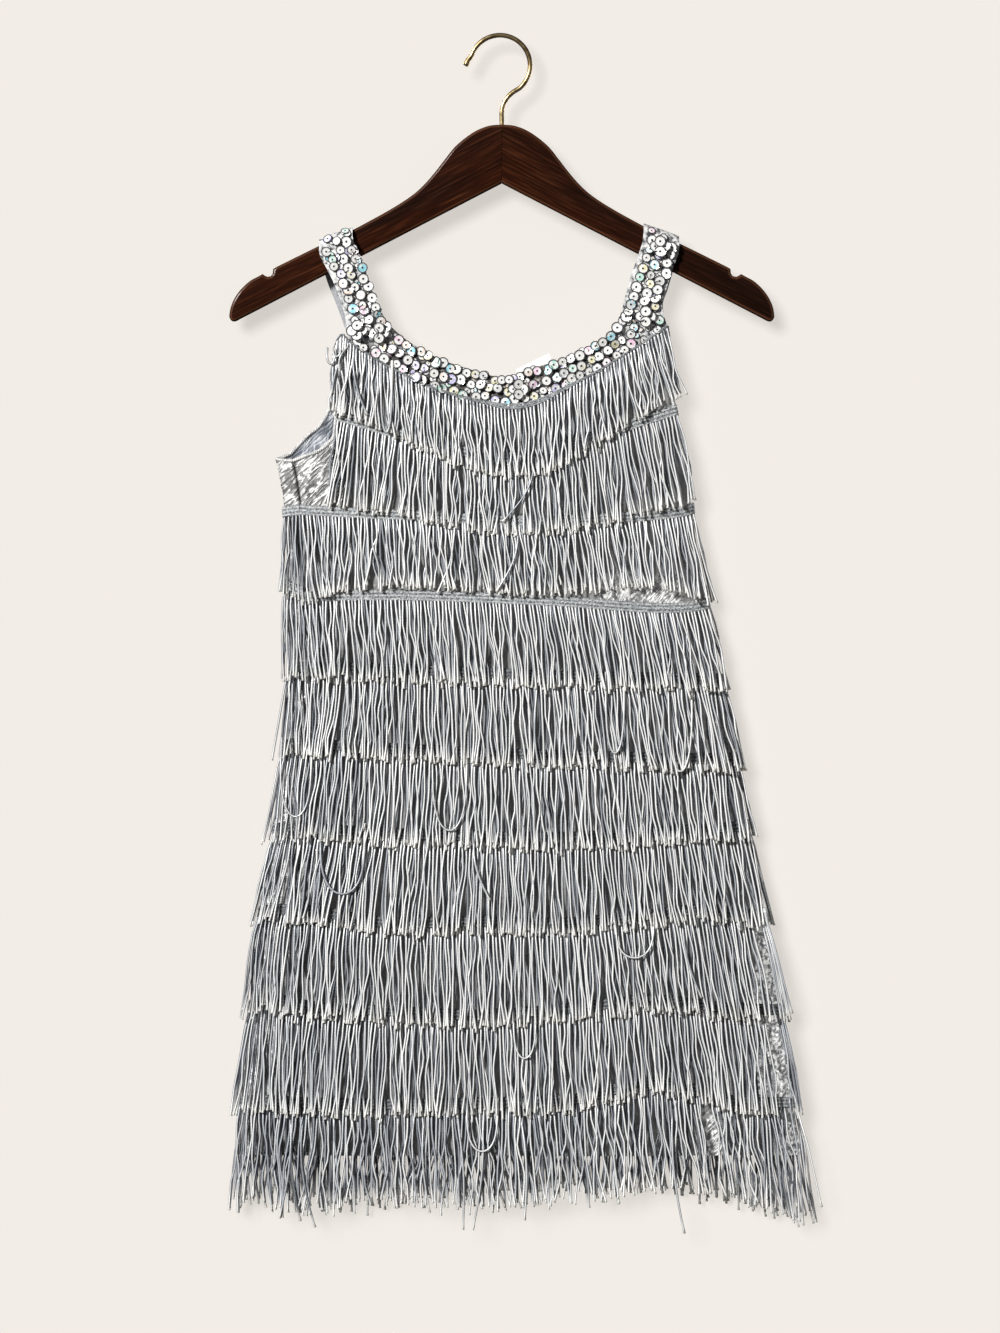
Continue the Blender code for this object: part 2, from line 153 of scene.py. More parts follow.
def section(height):
    """Centre, half width and half depth of the dress at a height."""
    left, right, depth = (through(height, SECTIONS[:, 0], SECTIONS[:, column]) for column in (1, 2, 3))
    return (left + right) / 2, (right - left) / 2, depth


def cloth(around, height, out=0.0, aside=0.0):
    """Points on the hanging oval: x = centre + half sin a, y = -(depth + folds) cos a, with a a quarter turn
    for each unit of around: 0 is the middle front, 1 the right edge, 2 the middle back and 3 the left edge.
    out moves them along the oval's outward normal, and aside along it, to the right seen from outside."""
    around, height = np.broadcast_arrays(np.asarray(around, float), height)
    centre, half, depth = section(height)
    turn = around * math.pi / 2
    bulge = np.zeros(around.shape)
    for place, spread, size, start in FOLDS:
        away = (around - place + 2) % 4 - 2
        grown = np.clip((start * MM - height) / (start * MM - HEM), 0, FOLD_MOST)
        bulge += size * MM * grown * np.exp(-((away / spread) ** 2))
    along = np.stack([half * np.cos(turn), depth * np.sin(turn)])
    along /= np.hypot(*along)
    x = centre + half * np.sin(turn) + out * along[1] + aside * along[0]
    y = -(depth + bulge) * np.cos(turn) - out * along[0] + aside * along[1]
    return np.stack([x, y, height], -1)


def around_at(x, height, back=False):
    """Where on the oval an x lies: the arcsine of its share of the half width, mirrored for the back."""
    centre, half, _ = section(height)
    place = np.arcsin(np.clip((x - centre) / half, -1, 1)) * 2 / math.pi
    return 2 - place if back else place


def blend(first, second, share):
    """The first where share is 0, the second where it is 1, and evenly between."""
    return first * (1 - share) + second * share


def lengths_along(points):
    """How far along a broken line each of its points lies."""
    return np.concatenate([[0], np.cumsum(np.linalg.norm(np.diff(points, axis=0), axis=1))])


def evenly(points, count):
    """Points spaced evenly along a broken line."""
    length = lengths_along(points)
    places = np.linspace(0, length[-1], count)
    return np.stack([np.interp(places, length, column) for column in points.T], -1)


def noise(u, v, seed):
    """Smooth random heights from -1 to 1: random values on a square lattice, eased between its corners."""
    lattice = np.random.default_rng(seed).uniform(-1, 1, (LATTICE, LATTICE))
    iu, iv = np.floor(u).astype(int), np.floor(v).astype(int)
    fu, fv = u - iu, v - iv
    fu, fv = fu * fu * (3 - 2 * fu), fv * fv * (3 - 2 * fv)
    corners = [lattice[(iu + a) % LATTICE, (iv + b) % LATTICE] for a in (0, 1) for b in (0, 1)]
    return blend(blend(*corners[:2], fv), blend(*corners[2:], fv), fu)


def build(name, points, *polygons, values=None, uv=None):
    """A mesh object at the origin from arrays: points, then arrays of faces, each with its own corner count.
    values are named numbers or colours for each point, and uv has one pair for each face corner."""
    mesh = bpy.data.meshes.new(name)
    mesh.vertices.add(len(points))
    mesh.vertices.foreach_set("co", np.ascontiguousarray(points, np.float32).ravel())
    corners = np.concatenate([faces.ravel() for faces in polygons]).astype(np.int32)
    sizes = np.concatenate([np.full(len(faces), faces.shape[1]) for faces in polygons])
    mesh.loops.add(len(corners))
    mesh.loops.foreach_set("vertex_index", corners)
    mesh.polygons.add(len(sizes))
    mesh.polygons.foreach_set("loop_start", (np.cumsum(sizes) - sizes).astype(np.int32))
    mesh.polygons.foreach_set("use_smooth", np.ones(len(sizes), bool))
    mesh.update(calc_edges=True)
    for key, value in (values or {}).items():
        kind, field = ("FLOAT_COLOR", "color") if value.ndim == 2 else ("FLOAT", "value")
        mesh.attributes.new(key, kind, "POINT").data.foreach_set(field, value.astype(np.float32).ravel())
    if uv is not None:
        mesh.uv_layers.new(name="UVMap").data.foreach_set("uv", uv.astype(np.float32).ravel())
    item = bpy.data.objects.new(name, mesh)
    bpy.context.scene.collection.objects.link(item)
    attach(item, "root")
    return item


def sheet_of(name, inner, outer, extra=None):
    """A closed thin sheet between two grids of points. Its inside attribute is 1 on the inner face."""
    rows, columns = inner.shape[:2]
    size = rows * columns
    index = np.arange(size).reshape(rows, columns)
    squares = np.stack([index[:-1, :-1], index[:-1, 1:], index[1:, 1:], index[1:, :-1]], -1).reshape(-1, 4)
    border = np.concatenate([index[0, :-1], index[:-1, -1], index[-1, :0:-1], index[:0:-1, 0]])
    after = np.roll(border, -1)
    rim = np.stack([border, after, after + size, border + size], -1)
    points = np.concatenate([inner.reshape(-1, 3), outer.reshape(-1, 3)])
    away = np.cross(outer[1, 1] - outer[0, 0], outer[0, 1] - outer[1, 0]) @ (outer - inner)[0, 0]
    flip = slice(None) if away > 0 else slice(None, None, -1)
    values = {"inside": np.repeat([1.0, 0.0], size)}
    for key, value in (extra or {}).items():
        values[key] = np.tile(value.ravel(), 2)
    faces = squares[:, flip], squares[:, ::-1][:, flip] + size, rim[:, flip]
    sheet = build(name, points, *faces, values=values)
    sheet.data.set_sharp_from_angle(angle=SHARP_CLOTH)
    return sheet


def stations_of(back, count):
    """Neckband rows: the left strap, a smooth scoop of count stretches, and the right strap."""
    table = NECKBAND.copy()
    if back:
        table[: LEFT_CORNER + 1, 2] -= BACK_STRAP_EXTRA
        table[RIGHT_CORNER:, 2] += BACK_STRAP_EXTRA[::-1] * RIGHT_SHARE
    scoop = rows_through(table[LEFT_CORNER : RIGHT_CORNER + 1], count + 1)
    return table[: LEFT_CORNER + 1], scoop, table[RIGHT_CORNER:]


def panel_places(back):
    """Places round the oval and heights of a panel. The body is a plain grid up to the armholes. The bust
    above it is a Coons patch, the blend of its four edges: the two armholes, the base and the neckband."""
    scoop = stations_of(back, PANEL_COLUMNS)[1][:, 2:]
    seams = (RIGHT_SEAM, 4 + LEFT_SEAM) if back else (LEFT_SEAM, RIGHT_SEAM)
    share = np.linspace(0, 1, PANEL_COLUMNS + 1)
    share -= CLOSER_AT_SIDES * np.sin(2 * math.pi * share)
    across = seams[0] + HALF_SEAM + (seams[1] - seams[0] - 2 * HALF_SEAM) * share
    scoop = scoop[::-1] if back else scoop
    heights = np.linspace(HEM, BARE_SIDE, BODY_ROWS)
    heights = np.concatenate([heights, np.linspace(BARE_SIDE, ARMHOLE_BASE, SIDE_ROWS)[1:]])
    body = np.stack(np.broadcast_arrays(across[None, :], heights[:, None]), -1)
    top = np.stack([around_at(scoop[:, 0], scoop[:, 1], back), scoop[:, 1]], -1)
    base = body[-1]
    edges = []
    sides = (RIGHT_ARMHOLE, BACK_LEFT_ARMHOLE) if back else (FRONT_LEFT_ARMHOLE, RIGHT_ARMHOLE)
    for side, end in zip(sides, (0, -1)):
        between = np.stack([around_at(side[:, 0], side[:, 1], back), side[:, 1]], -1)
        run = rows_through(np.concatenate([base[[end]], between, top[[end]]]), CURVE_POINTS)
        edges.append(evenly(run * (UNIT_AROUND, 1), BUST_ROWS + 1) / (UNIT_AROUND, 1))
    s = np.linspace(0, 1, PANEL_COLUMNS + 1)[None, :, None]
    r = np.linspace(0, 1, BUST_ROWS + 1)[:, None, None]
    ends = blend(blend(base[0], base[-1], s), blend(top[0], top[-1], s), r)
    bust = blend(edges[0][:, None], edges[1][:, None], s) + blend(base, top, r) - ends
    return np.concatenate([body, bust[1:]]), edges


def crinkle(around, height):
    """Creases of foil satin in metres, and how bare of fringe, how much painted light and how near the left
    seam the cloth is, from 0 to 1. The creases are ridges where slanted noise crosses zero, over a finer
    ripple, taller where bare."""
    centre, half, _ = section(height)
    x = centre + half * np.sin(around * math.pi / 2)
    run = x + QUARTER_SHIFT * np.floor(around)
    bend = CREASE_BEND * noise(run / BEND_SIZE[0], height / BEND_SIZE[1], seed=13)
    along = run * CREASE_RUN[0] + height * CREASE_RUN[1]
    cross = run * CREASE_RUN[1] - height * CREASE_RUN[0] + bend
    u, v = along / CREASE_LONG + CREASE_START[0], cross / CREASE_WIDE + CREASE_START[1]
    sharp = (1 - np.abs(noise(u, v, seed=11))) ** CREST_POWERS[0] - LOWERED[0]
    u, v = run / RIPPLE_SIZE[0] + RIPPLE_START, height / RIPPLE_SIZE[1]
    fine = (1 - np.abs(noise(u, v, seed=12))) ** CREST_POWERS[1] - LOWERED[1]
    seam = np.exp(-((((around - LEFT_SEAM + 2) % 4 - 2) / SEAM_SPREAD) ** 2))
    bare, pale = np.zeros(x.shape), np.zeros(x.shape)
    for *sides, painted_lightness in BARE:
        left, right, bottom, top = MM * np.array(sides)
        edge = np.minimum(np.minimum(x - left, right - x), np.minimum(height - bottom, top - height))
        patch = np.clip(edge / BARE_FADE + 0.5, 0, 1) * ((painted_lightness == 0) | (around < RIGHT_SEAM))
        bare, pale = np.maximum(bare, patch), np.maximum(pale, patch * painted_lightness)
    low = LOW_CREASES[0] * sharp + LOW_CREASES[1] * fine
    tall = TALL_CREASES[0] * sharp + TALL_CREASES[1] * fine * (1 + 2 * pale) - SEAM_DEPTH * seam
    return blend(low, tall, bare), {"bare": bare, "pale": pale, "seam": seam * bare}


class Shade:
    """A shader socket. Arithmetic on it adds Math nodes to its material."""

    def __init__(self, tree, socket):
        self.tree, self.socket = tree, socket

    def math(self, operation, *values):
        node = self.tree.nodes.new("ShaderNodeMath")
        node.operation = operation
        for slot, value in zip(node.inputs, values):
            feed(self.tree, slot, value)
        return Shade(self.tree, node.outputs[0])

    def __add__(self, other):
        return self.math("ADD", self, other)

    def __sub__(self, other):
        return self.math("SUBTRACT", self, other)

    def __rsub__(self, other):
        return self.math("SUBTRACT", other, self)

    def __mul__(self, other):
        return self.math("MULTIPLY", self, other)

    def __pow__(self, other):
        return self.math("POWER", self, other)

    __radd__, __rmul__ = __add__, __mul__

    def clamp(self):
        """The value kept between 0 and 1."""
        return self.math("MINIMUM", self.math("MAXIMUM", self, 0.0), 1.0)

    def sine(self):
        return self.math("SINE", self)


def feed(tree, slot, value):
    """Links a shade to a socket, or sets a number or colour on it. One number for a colour is a grey."""
    if isinstance(value, Shade):
        tree.links.new(value.socket, slot)
    elif slot.type == "RGBA":
        slot.default_value = (*np.broadcast_to(value, 3), 1)
    else:
        slot.default_value = value


class Finish:
    """A named material with one Principled shader, and node(), which adds any other node."""

    def __init__(self, name, **constants):
        self.material = bpy.data.materials.new(name)
        self.material.use_nodes = True
        self.tree = self.material.node_tree
        self.shader = self.tree.nodes["Principled BSDF"]
        self.set(**constants)

    def node(self, kind, settings, inputs, output=0):
        """Adds a node: its type, its settings or its ramp's stops, what its inputs take, and which output it
        gives. A stop's colour is three numbers, or one for a grey."""
        made = self.tree.nodes.new("ShaderNode" + kind)
        for key, value in settings.items():
            if key == "stops":
                ramp = made.color_ramp.elements
                for _ in range(len(value) - 2):
                    ramp.new(0.5)
                for stop, (place, colour) in zip(ramp, value):
                    stop.position, stop.color = place, (*np.broadcast_to(colour, 3), 1)
            else:
                setattr(made, key, value)
        for key, value in inputs.items():
            feed(self.tree, made.inputs[key], value)
        return Shade(self.tree, made.outputs[output])

    def place(self):
        return self.node("TexCoord", {}, {}, "Object")

    def uv(self, axis):
        """One number of the piece's UV map: on a cord, 0 is the share of the way round and 1 metres along."""
        return self.node("SeparateXYZ", {}, {"Vector": self.node("UVMap", {}, {})}, axis)

    def value(self, name, output="Fac"):
        return self.node("Attribute", {"attribute_name": name}, {}, output)

    def mapped(self, vector, scale, turn=(0, 0, 0), kind="POINT"):
        """A vector scaled and turned about the origin."""
        inputs = {"Vector": vector, "Rotation": turn, "Scale": scale}
        return self.node("Mapping", {"vector_type": kind}, inputs)

    def noise(self, scale, detail=2.0, where=None, roughness=0.5):
        inputs = {"Vector": where or self.place(), "Scale": scale, "Detail": detail, "Roughness": roughness}
        return self.node("TexNoise", {}, inputs)

    def ridges(self, where):
        """Thin crests: one less twice the distance of noise from its middle value."""
        swing = self.node("TexNoise", {}, {"Vector": where, "Scale": 1.0, "Distortion": 0.9}) * 4 - 2
        return 1 - swing.math("ABSOLUTE", swing)

    def mix(self, share, first, second):
        return self.node("Mix", {"data_type": "RGBA"}, {0: share, 6: first, 7: second}, 2)

    def ramp(self, value, *stops):
        return self.node("ValToRGB", {"stops": stops}, {"Fac": value})

    def relief(self, height, distance, strength=1.0):
        """Feeds a Bump node of this height, in metres, to the shader's normal."""
        bump = self.node("Bump", {}, {"Height": height, "Distance": distance, "Strength": strength})
        self.set(Normal=bump)

    def set(self, **inputs):
        for key, value in inputs.items():
            feed(self.tree, self.shader.inputs[key.replace("_", " ")], value)


def foil_satin():
    """Silver foil satin outside, smooth blue grey inside. Bare satin is rougher and painted dark as shade in
    cloudy patches, with the crests of its creases painted bright as highlights, and its pale patches are
    painted light and glow with painted glints. The folds inside are painted in light and shade.
    """
    # Painted light: the foil glows by this strength, in its pale patches only
    satin = Finish("foil_satin", Emission_Strength=0.6)
    inside, bare, painted_light_share = (satin.value(name) for name in ("inside", "bare", "pale"))
    rubbed, crease, crumple = satin.noise(60, 4.0), satin.noise(150, 3.0), satin.noise(330, 2.0)
    slanted = satin.mapped(satin.place(), (0.021, 0.021, 0.0054), (0, -math.pi / 4, 0), "TEXTURE")
    ridge = satin.ridges(slanted)
    fold = satin.ridges(satin.mapped(satin.place(), (64, 64, 22)))
    # Painted shade: bare satin is painted dark grey in cloudy patches, to darken the side facing the key
    # light
    dull = satin.ramp(rubbed, (0.3, 0.13), (0.7, (0.30, 0.295, 0.285)))
    # Painted light: the pale patches' colours, brighter than the foil elsewhere
    pale = satin.ramp(crumple, (0.42, (0.16, 0.16, 0.17)), (0.54, 0.50), (0.64, (1.0, 1.0, 0.98)))
    # Painted highlights: the crests of the creases on bare satin are painted bright
    crest_highlight = satin.ramp(ridge + crumple * 0.6 - 0.3, (0.76, 0), (0.90, 1))
    creased = satin.mix(crest_highlight, satin.mix(painted_light_share, dull, pale), (0.80, 0.79, 0.77))
    creased = satin.mix(satin.value("seam"), creased, (0.03, 0.03, 0.033))
    foil = satin.mix(bare, satin.ramp(rubbed, (0.3, 0.34), (0.7, (0.66, 0.65, 0.64))), creased)
    # Painted light and shade: the inside is dark in the troughs of its folds and pale on their crests
    fold_light_and_shade = satin.ramp(fold, (0.2, (0.06, 0.07, 0.09)), (0.7, (0.28, 0.30, 0.34)), (1.0, (0.62, 0.64, 0.67)))
    # Painted glints: bright spots that glow on the pale patches
    painted_glints = satin.ramp(crumple, (0.38, (0.09, 0.09, 0.095)), (0.50, 0.24), (0.62, (0.80, 0.80, 0.77)))
    satin.set(Base_Color=satin.mix(inside, foil, fold_light_and_shade), Emission_Color=satin.mix(painted_light_share, 0, painted_glints))
    satin.set(Metallic=(1 - inside) * (0.6 - 0.45 * bare))
    satin.set(Roughness=inside * 0.2 + (rubbed * 0.2 + 0.2) + bare * (1 - inside) * 0.16)
    satin.relief(crease + (ridge + crumple * 0.4) * bare * 1.5 + fold * inside * 2.0, 1.2 * MM, 0.6)
    return satin.material


def dress(piece, material, slot, *nodes):
    """Gives a piece its material and hides the solids that it stands for. slot is not used."""
    piece.data.materials.append(material)
    for node in nodes:
        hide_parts(node)


SATIN = foil_satin()
armhole_edges, panels, bands = {}, {}, {}
for back, side in SIDES:
    places, armhole_edges[back] = panel_places(back)
    around, height = places[..., 0], places[..., 1]
    creases, marks = crinkle(around, height)
    inner, outer = (cloth(around, height, PANEL_OUT + thick + creases) for thick in (0, CLOTH))
    panels[back] = sheet_of(f"{side}_panel_cloth", inner, outer, marks)
    dress(panels[back], SATIN, "satin", f"{side}_panel")


# ---------------------------------------------------------------- fringe
# Ten lengths of trim, each a woven header with a row of silver rayon cords, are stitched on one above
# another, so that the tips of each nearly hide the next header. The two on the bust end at the armholes,
# and the rest go right round. The cords are cut square, and their ends splay.

# Tip heights at even stations from left to right
TIPS = (
    (-307, -319, -337, -353, -361, -357, -337, -312, -293),
    (-383, -396, -409, -400, -379),
    (-464, -455, -451, -454, -458, -454, -451, -460, -463),
    (-526, -528, -533, -535, -536),
    (-588, -593, -598, -601, -600),
    (-656, -662, -665, -659, -655),
    (-724, -727, -735, -734, -735, -729, -724, -728, -727),
    (-796, -804, -807, -810, -805, -798, -804, -806, -806),
    (-880, -882, -883, -882, -879, -865, -880, -882, -882),
    (-955, -960, -951, -958, -952, -942, -950, -967, -966),
)
# Header heights where the braid shows, at five stations. At the back the lowest of them is hidden
HEADERS = {
    2: (-306, -326, -340, -323, -301), 3: (-383, -387, -392, -388, -381), 4: (-454, -453, -457, -463.5, -459),
}
# x of a bust tier's left and right ends, at its header and at its tips
BUST_ENDS = {
    1: MM * np.array((-136.0, 137.0, -140.0, 149.5)), 2: MM * np.array((-133.0, 144.0, -141.5, 160.5)),
}
# The first header's loose end past the neckband's corner: x, z
PAST_BAND = MM * np.array([(-135.5, -256), (-133, -247), (-128.5, -243.5)])
# The first header lies this far above the band's edge, and one that doesn't show above the tips before it
HEADER_LIFT, TIER_LAP = 1.2 * MM, 14.5 * MM
# How far the tips of the full tiers stand off the body's left and right edges, and the powers by which that
# grows round the body and down the cords
FLARES, FLARE_ROUND, FLARE_DOWN = (4.0 * MM, 2.5 * MM), 4, 1.5
# The share of the half width past which cords hang straight, off the body's side
OFF_THE_SIDE = 0.93
OVER_BAND = 0.7 * MM
# Distance below a tier's top, and how far its cords lie out from the body line
CORDS_OUT = MM * np.array([(0, 2.4), (9, 2.4), (14, 3.5), (40, 4.5), (80, 5.2)])
BRAID_TALL = 9 * MM

CORD_PITCH = 2.95 * MM
# Cords are spaced along a curve of so many points, this far below the header, give or take this share
SPACING_POINTS, SPACED_AT, OFF_PITCH = 400, 20 * MM, 0.17
# Stations along a cord and corners round it, at the front and at the back
CORD_GRID = (12, 6), (9, 4)
# A cord's radius, how that differs from cord to cord, and how far its cut end is splayed and how wide
CORD_RADIUS, CORD_SPREAD, CUT_END, CUT_SPLAY = 0.86 * MM, (0.85, 1.1), 2.5 * MM, 1.35
# Two layers of cords: how far each stands out from the other, its mean tone, and how much further apart its
# cords are in the lowest tier, at the front and at the back. The under layer's low tone is painted shade.
LAYERS = ((0.9 * MM, 1.0, 1.0, 1.15), (-0.6 * MM, 0.42, 1.12, 1.12))
UNDER_LAYER_SHORTER = 2.5 * MM
TONE_SPREAD = 0.15
# How much paler than the rest some tiers are
PALER = {1: 0.07, 2: 0.07, 3: 0.07, 4: 0.08, 9: -0.05, 10: -0.20}
# The cords nearest the left edge have painted shade, to tone down the key light that falls strongest there:
# how much, right of which x not at all, and how soon
LEFT_PAINTED_SHADE, LEFT_BRIGHT, LEFT_FADE = 0.16, -70 * MM, 90 * MM
# Cords hang in clumps: the clumps' widths in mm, the share by which they draw their cords in at most, and
# how far they lean in mm
CLUMP_WIDTHS, CLUMP_PULL, CLUMP_LEAN = (8, 22), 0.38, 1.1
# So many clumps are drawn, and kept up to this far past a tier's end, which is found at this pitch
CLUMPS_DRAWN, PAST_END, END_PITCH = 60, 12 * MM, 10 * MM
# How much the cords' lengths differ, how far most of them lean and the few that cross others, in mm, and the
# share of those few
LENGTH_SPREAD, LEAN, CROSSING_LEAN, CROSSING = 0.024, 0.9, 5.0, 0.10
# A cord's slow and quick sway aside, its sway out, and how far out or in it leans, all at its tip and in mm
SWAY, SWAY_OUT, LEAN_OUT = (1.3, 0.55), 0.8, (-0.4, 1.3)
# How often it sways, how soon the sway is whole, and the power by which pull and lean grow down a cord
SWAY_BEATS, SWAY_SOON, PULL_POWER = (0.5, 1.5), 2.2, 1.6
# The lowest tier is looser by this, and cords lean less this near to a tier's ends, down to this share
HEM_LOOSE, END_FADE, END_LEAN = 1.7, 12 * MM, 0.1
# How near the last two stations of a cord are to its cut end
CUT_MARKS = 0.35, 1

# Cords that hang out of line at the front. Loops were never cut: tier, left x, right x, lowest height
LOOPS = (
    (1, -141, -134.5, -268), (1, -136, -130, -262), (1, -97, -88, -324), (5, 86, 101, -586),
    (5, 137, 156, -601), (6, -178, -153, -638), (6, -55, -27, -649), (7, -146, -110, -701),
    (8, 94, 125, -753), (9, 11, 29, -835), (10, -27, -2, -911),
)
# Strays were cut long or have strayed: tier, x at the header, x and height of the tip, bow to the right
STRAYS = (
    (1, -119, -108, -310, -3), (1, -122, -137, -292, -5), (1, -121, -131, -272, -5), (2, 25, 2, -397, 7),
    (3, 12, -3, -454, 6), (7, -20, -8, -706, -4), (8, 150, 164, -786, -4), (8, 212.5, 228, -803, 2),
    (8, 214, 231, -806, 3), (8, 215, 233.5, -801, 3), (8, 216, 235.5, -804, 2.5), (8, 216.5, 237, -799, 2),
    (9, 228.5, 242, -879, 2), (9, 230, 245, -882, 2.5), (10, -16, -22, -975, 4), (10, 143, 150, -978, -5),
    (10, -172, -179, -966, 4), (10, -166, -162, -968, -5), (10, -158, -150, -973, -6),
    (10, -38, -30, -975, 5), (10, -60, -57, -961, -4), (10, 14, 20, -967, 5), (10, 241, 261, -957, 3),
    (10, 236, 246, -972, 3),
)
LOOP_TONE, STRAY_TONE = 0.95, 0.68
# How far in mm loose cords stand out from the body line, at their ends and by how much more between, the
# share of its fall over which one stays under the tips of the tier above, and how soon it then comes out
LOOSE_OUT, UNDER_TIER, OUT_SOON = (3, 5.6), 0.17, 1.4
# A loose cord has so many stations more than others, and starts on a header of so many points
LOOSE_STATIONS, HEADER_POINTS = 8, 200
# Stretches of a front tier without cords: tier, first and last share. The braid below shows a little further
GAPS = ((8, 0.895, 0.95), (9, 0.875, 0.94), (10, 0.905, 0.955), (10, 0.695, 0.713))
BRAID_FURTHER = 0.06

# The woven header's section: distance below its top, and distance out from the body line
BRAID = MM * np.array([
    (-0.3, 2.2), (0.1, 3.2), (1.4, 3.6), (2.9, 3.45), (4.4, 3.6), (5.9, 3.45), (7.4, 3.6), (8.7, 3.2),
    (9.0, 2.2), (8.4, 1.7), (0.4, 1.7),
])
BRAID_STATIONS = 150
# The sequins hang over the first header, which is turned under to this share of its height. More of it shows
# near the middle: the share there, where that is along it, and over what share of its length
FIRST_BRAID, MORE_BRAID, MORE_AT, MORE_SPREAD = 0.22, 0.6, 0.56, 0.12


def first_header(back):
    """Points along the first header: its loose end past the band's corner, then the band's lower edge."""
    return np.concatenate([PAST_BAND, stations_of(back, CURVE_POINTS)[1][:, 2:]])


def along_tier(share, heights):
    """Heights in metres at shares of a tier's length, on a smooth curve through those at even stations."""
    return through(share, np.linspace(0, 1, len(heights)), MM * np.array(heights))


def tier_heights(number, back, share):
    """Heights of a tier's header and tips at shares of its length from left to right."""
    tips = along_tier(share, TIPS[number - 1])
    if number == 1:
        line = first_header(back)
        return np.interp(share, np.linspace(0, 1, len(line)), line[:, 1]) + HEADER_LIFT, tips
    if number in HEADERS and not (back and number == max(HEADERS)):
        return along_tier(share, HEADERS[number]), tips
    return along_tier(share, TIPS[number - 2]) + TIER_LAP, tips


def hung(x, height, out, back=False):
    """Points at an x and a height: out from the body as far as it goes, and straight past its side."""
    centre, half, _ = section(height)
    on_body = centre + np.clip(x - centre, -OFF_THE_SIDE * half, OFF_THE_SIDE * half)
    spot = cloth(around_at(on_body, height, back), height, out)
    spot[..., 0] += x - on_body
    return spot


def on_tier(number, back, share, down, out, aside=0.0):
    """Points at shares along a tier and distances below its header. A tier below the armholes follows the
    oval from seam to seam. One between them runs from its top ends to its tip ends, and hangs past the
    body's side."""
    share, down = np.broadcast_arrays(share, down)
    header, tips = tier_heights(number, back, share)
    height = header - down
    if number not in BUST_ENDS:
        seams = (4 + LEFT_SEAM, RIGHT_SEAM) if back else (LEFT_SEAM, RIGHT_SEAM)
        around = seams[0] + (seams[1] - seams[0]) * share
        flare = blend(*FLARES, share) * (number < len(TIPS))
        grown = np.clip(down / (header - tips), 0, 1) ** FLARE_DOWN
        edge = np.sin(around * math.pi / 2) ** FLARE_ROUND * grown
        return cloth(around, height, out + flare * edge, aside)
    top_left, top_right, tip_left, tip_right = BUST_ENDS[number]
    x_top, x_tip = blend(top_left, top_right, share), blend(tip_left, tip_right, share)
    if number == 1:
        line = first_header(back)
        x_top = np.interp(share, np.linspace(0, 1, len(line)), line[:, 0])
    x = blend(x_top, x_tip, down / (header - tips)) + aside
    return hung(x, height, out + OVER_BAND * (number == 1), back)


def skin(rings, flip=False):
    """Faces over closed rings of points, an array of body, station, corner, xyz, with a cap at both ends. The
    rings run clockwise about their path, or flip is set. It returns points, the two arrays of faces, and a UV
    pair for each corner: the share of the way round, and metres along."""
    count, stations, sides = rings.shape[:3]
    index = np.arange(count * stations * sides).reshape(count, stations, sides)
    after = np.roll(index, -1, 2)
    walls = np.stack([index[:, :-1], index[:, 1:], after[:, 1:], after[:, :-1]], -1).reshape(-1, 4)
    caps = np.concatenate([index[:, 0], index[:, -1, ::-1]])
    middle = rings.mean(2)
    length = np.zeros((count, stations, 1))
    length[:, 1:, 0] = np.cumsum(np.linalg.norm(np.diff(middle, axis=1), axis=-1), axis=1)
    u = np.arange(sides) / sides + np.zeros((count, stations - 1, 1))
    low, high = length[:, :-1] + 0 * u, length[:, 1:] + 0 * u
    corners = np.stack([u, low, u, high, u + 1 / sides, high, u + 1 / sides, low], -1).reshape(-1, 4, 2)
    if flip:
        walls, caps, corners = walls[:, ::-1], caps[:, ::-1], corners[:, ::-1]
    uv = np.concatenate([corners.reshape(-1, 2), np.zeros((caps.size, 2))])
    return rings.reshape(-1, 3), (walls, caps), uv


def unit(vectors):
    """Vectors scaled to a length of 1."""
    return vectors / np.linalg.norm(vectors, axis=-1, keepdims=True)


def tubes(paths, radii, sides):
    """Round tubes along paths, an array of tube, station, xyz. Each ring is r (S cos a + U sin a), where S is
    the path's direction crossed with the depth axis and U is S crossed with that direction."""
    run = unit(np.gradient(paths, axis=1))
    side = unit(np.cross(run, (0, 1, 0)))
    up = np.cross(side, run)
    turn = np.arange(sides) * 2 * math.pi / sides
    ring = side[:, :, None] * np.cos(turn)[:, None] + up[:, :, None] * np.sin(turn)[:, None]
    return skin(paths[:, :, None] + ring * np.broadcast_to(radii, paths.shape[:2])[:, :, None, None])


def even_shares(number, back, pitch, chance):
    """Shares along a tier where cords start, about a pitch apart along its curve, and how far each is along
    the curve in metres."""
    share = np.linspace(0, 1, SPACING_POINTS)
    length = lengths_along(on_tier(number, back, share, SPACED_AT, 0))
    count = int(length[-1] / pitch)
    off = chance.uniform(-OFF_PITCH, OFF_PITCH, count)
    place = (np.arange(count) + 0.5 + off) * length[-1] / count
    return np.interp(place, length, share), place


def clumps_along(number, back, chance):
    """Middles of a tier's clumps in metres along it, by what share they draw cords in, and their leans."""
    reach = even_shares(number, back, END_PITCH, chance)[1][-1]
    middles = np.cumsum(chance.uniform(*CLUMP_WIDTHS, CLUMPS_DRAWN) * MM)
    middles = middles[middles < reach + PAST_END]
    count = len(middles)
    return middles, chance.uniform(0.0, CLUMP_PULL, count), chance.normal(0, CLUMP_LEAN, count) * MM


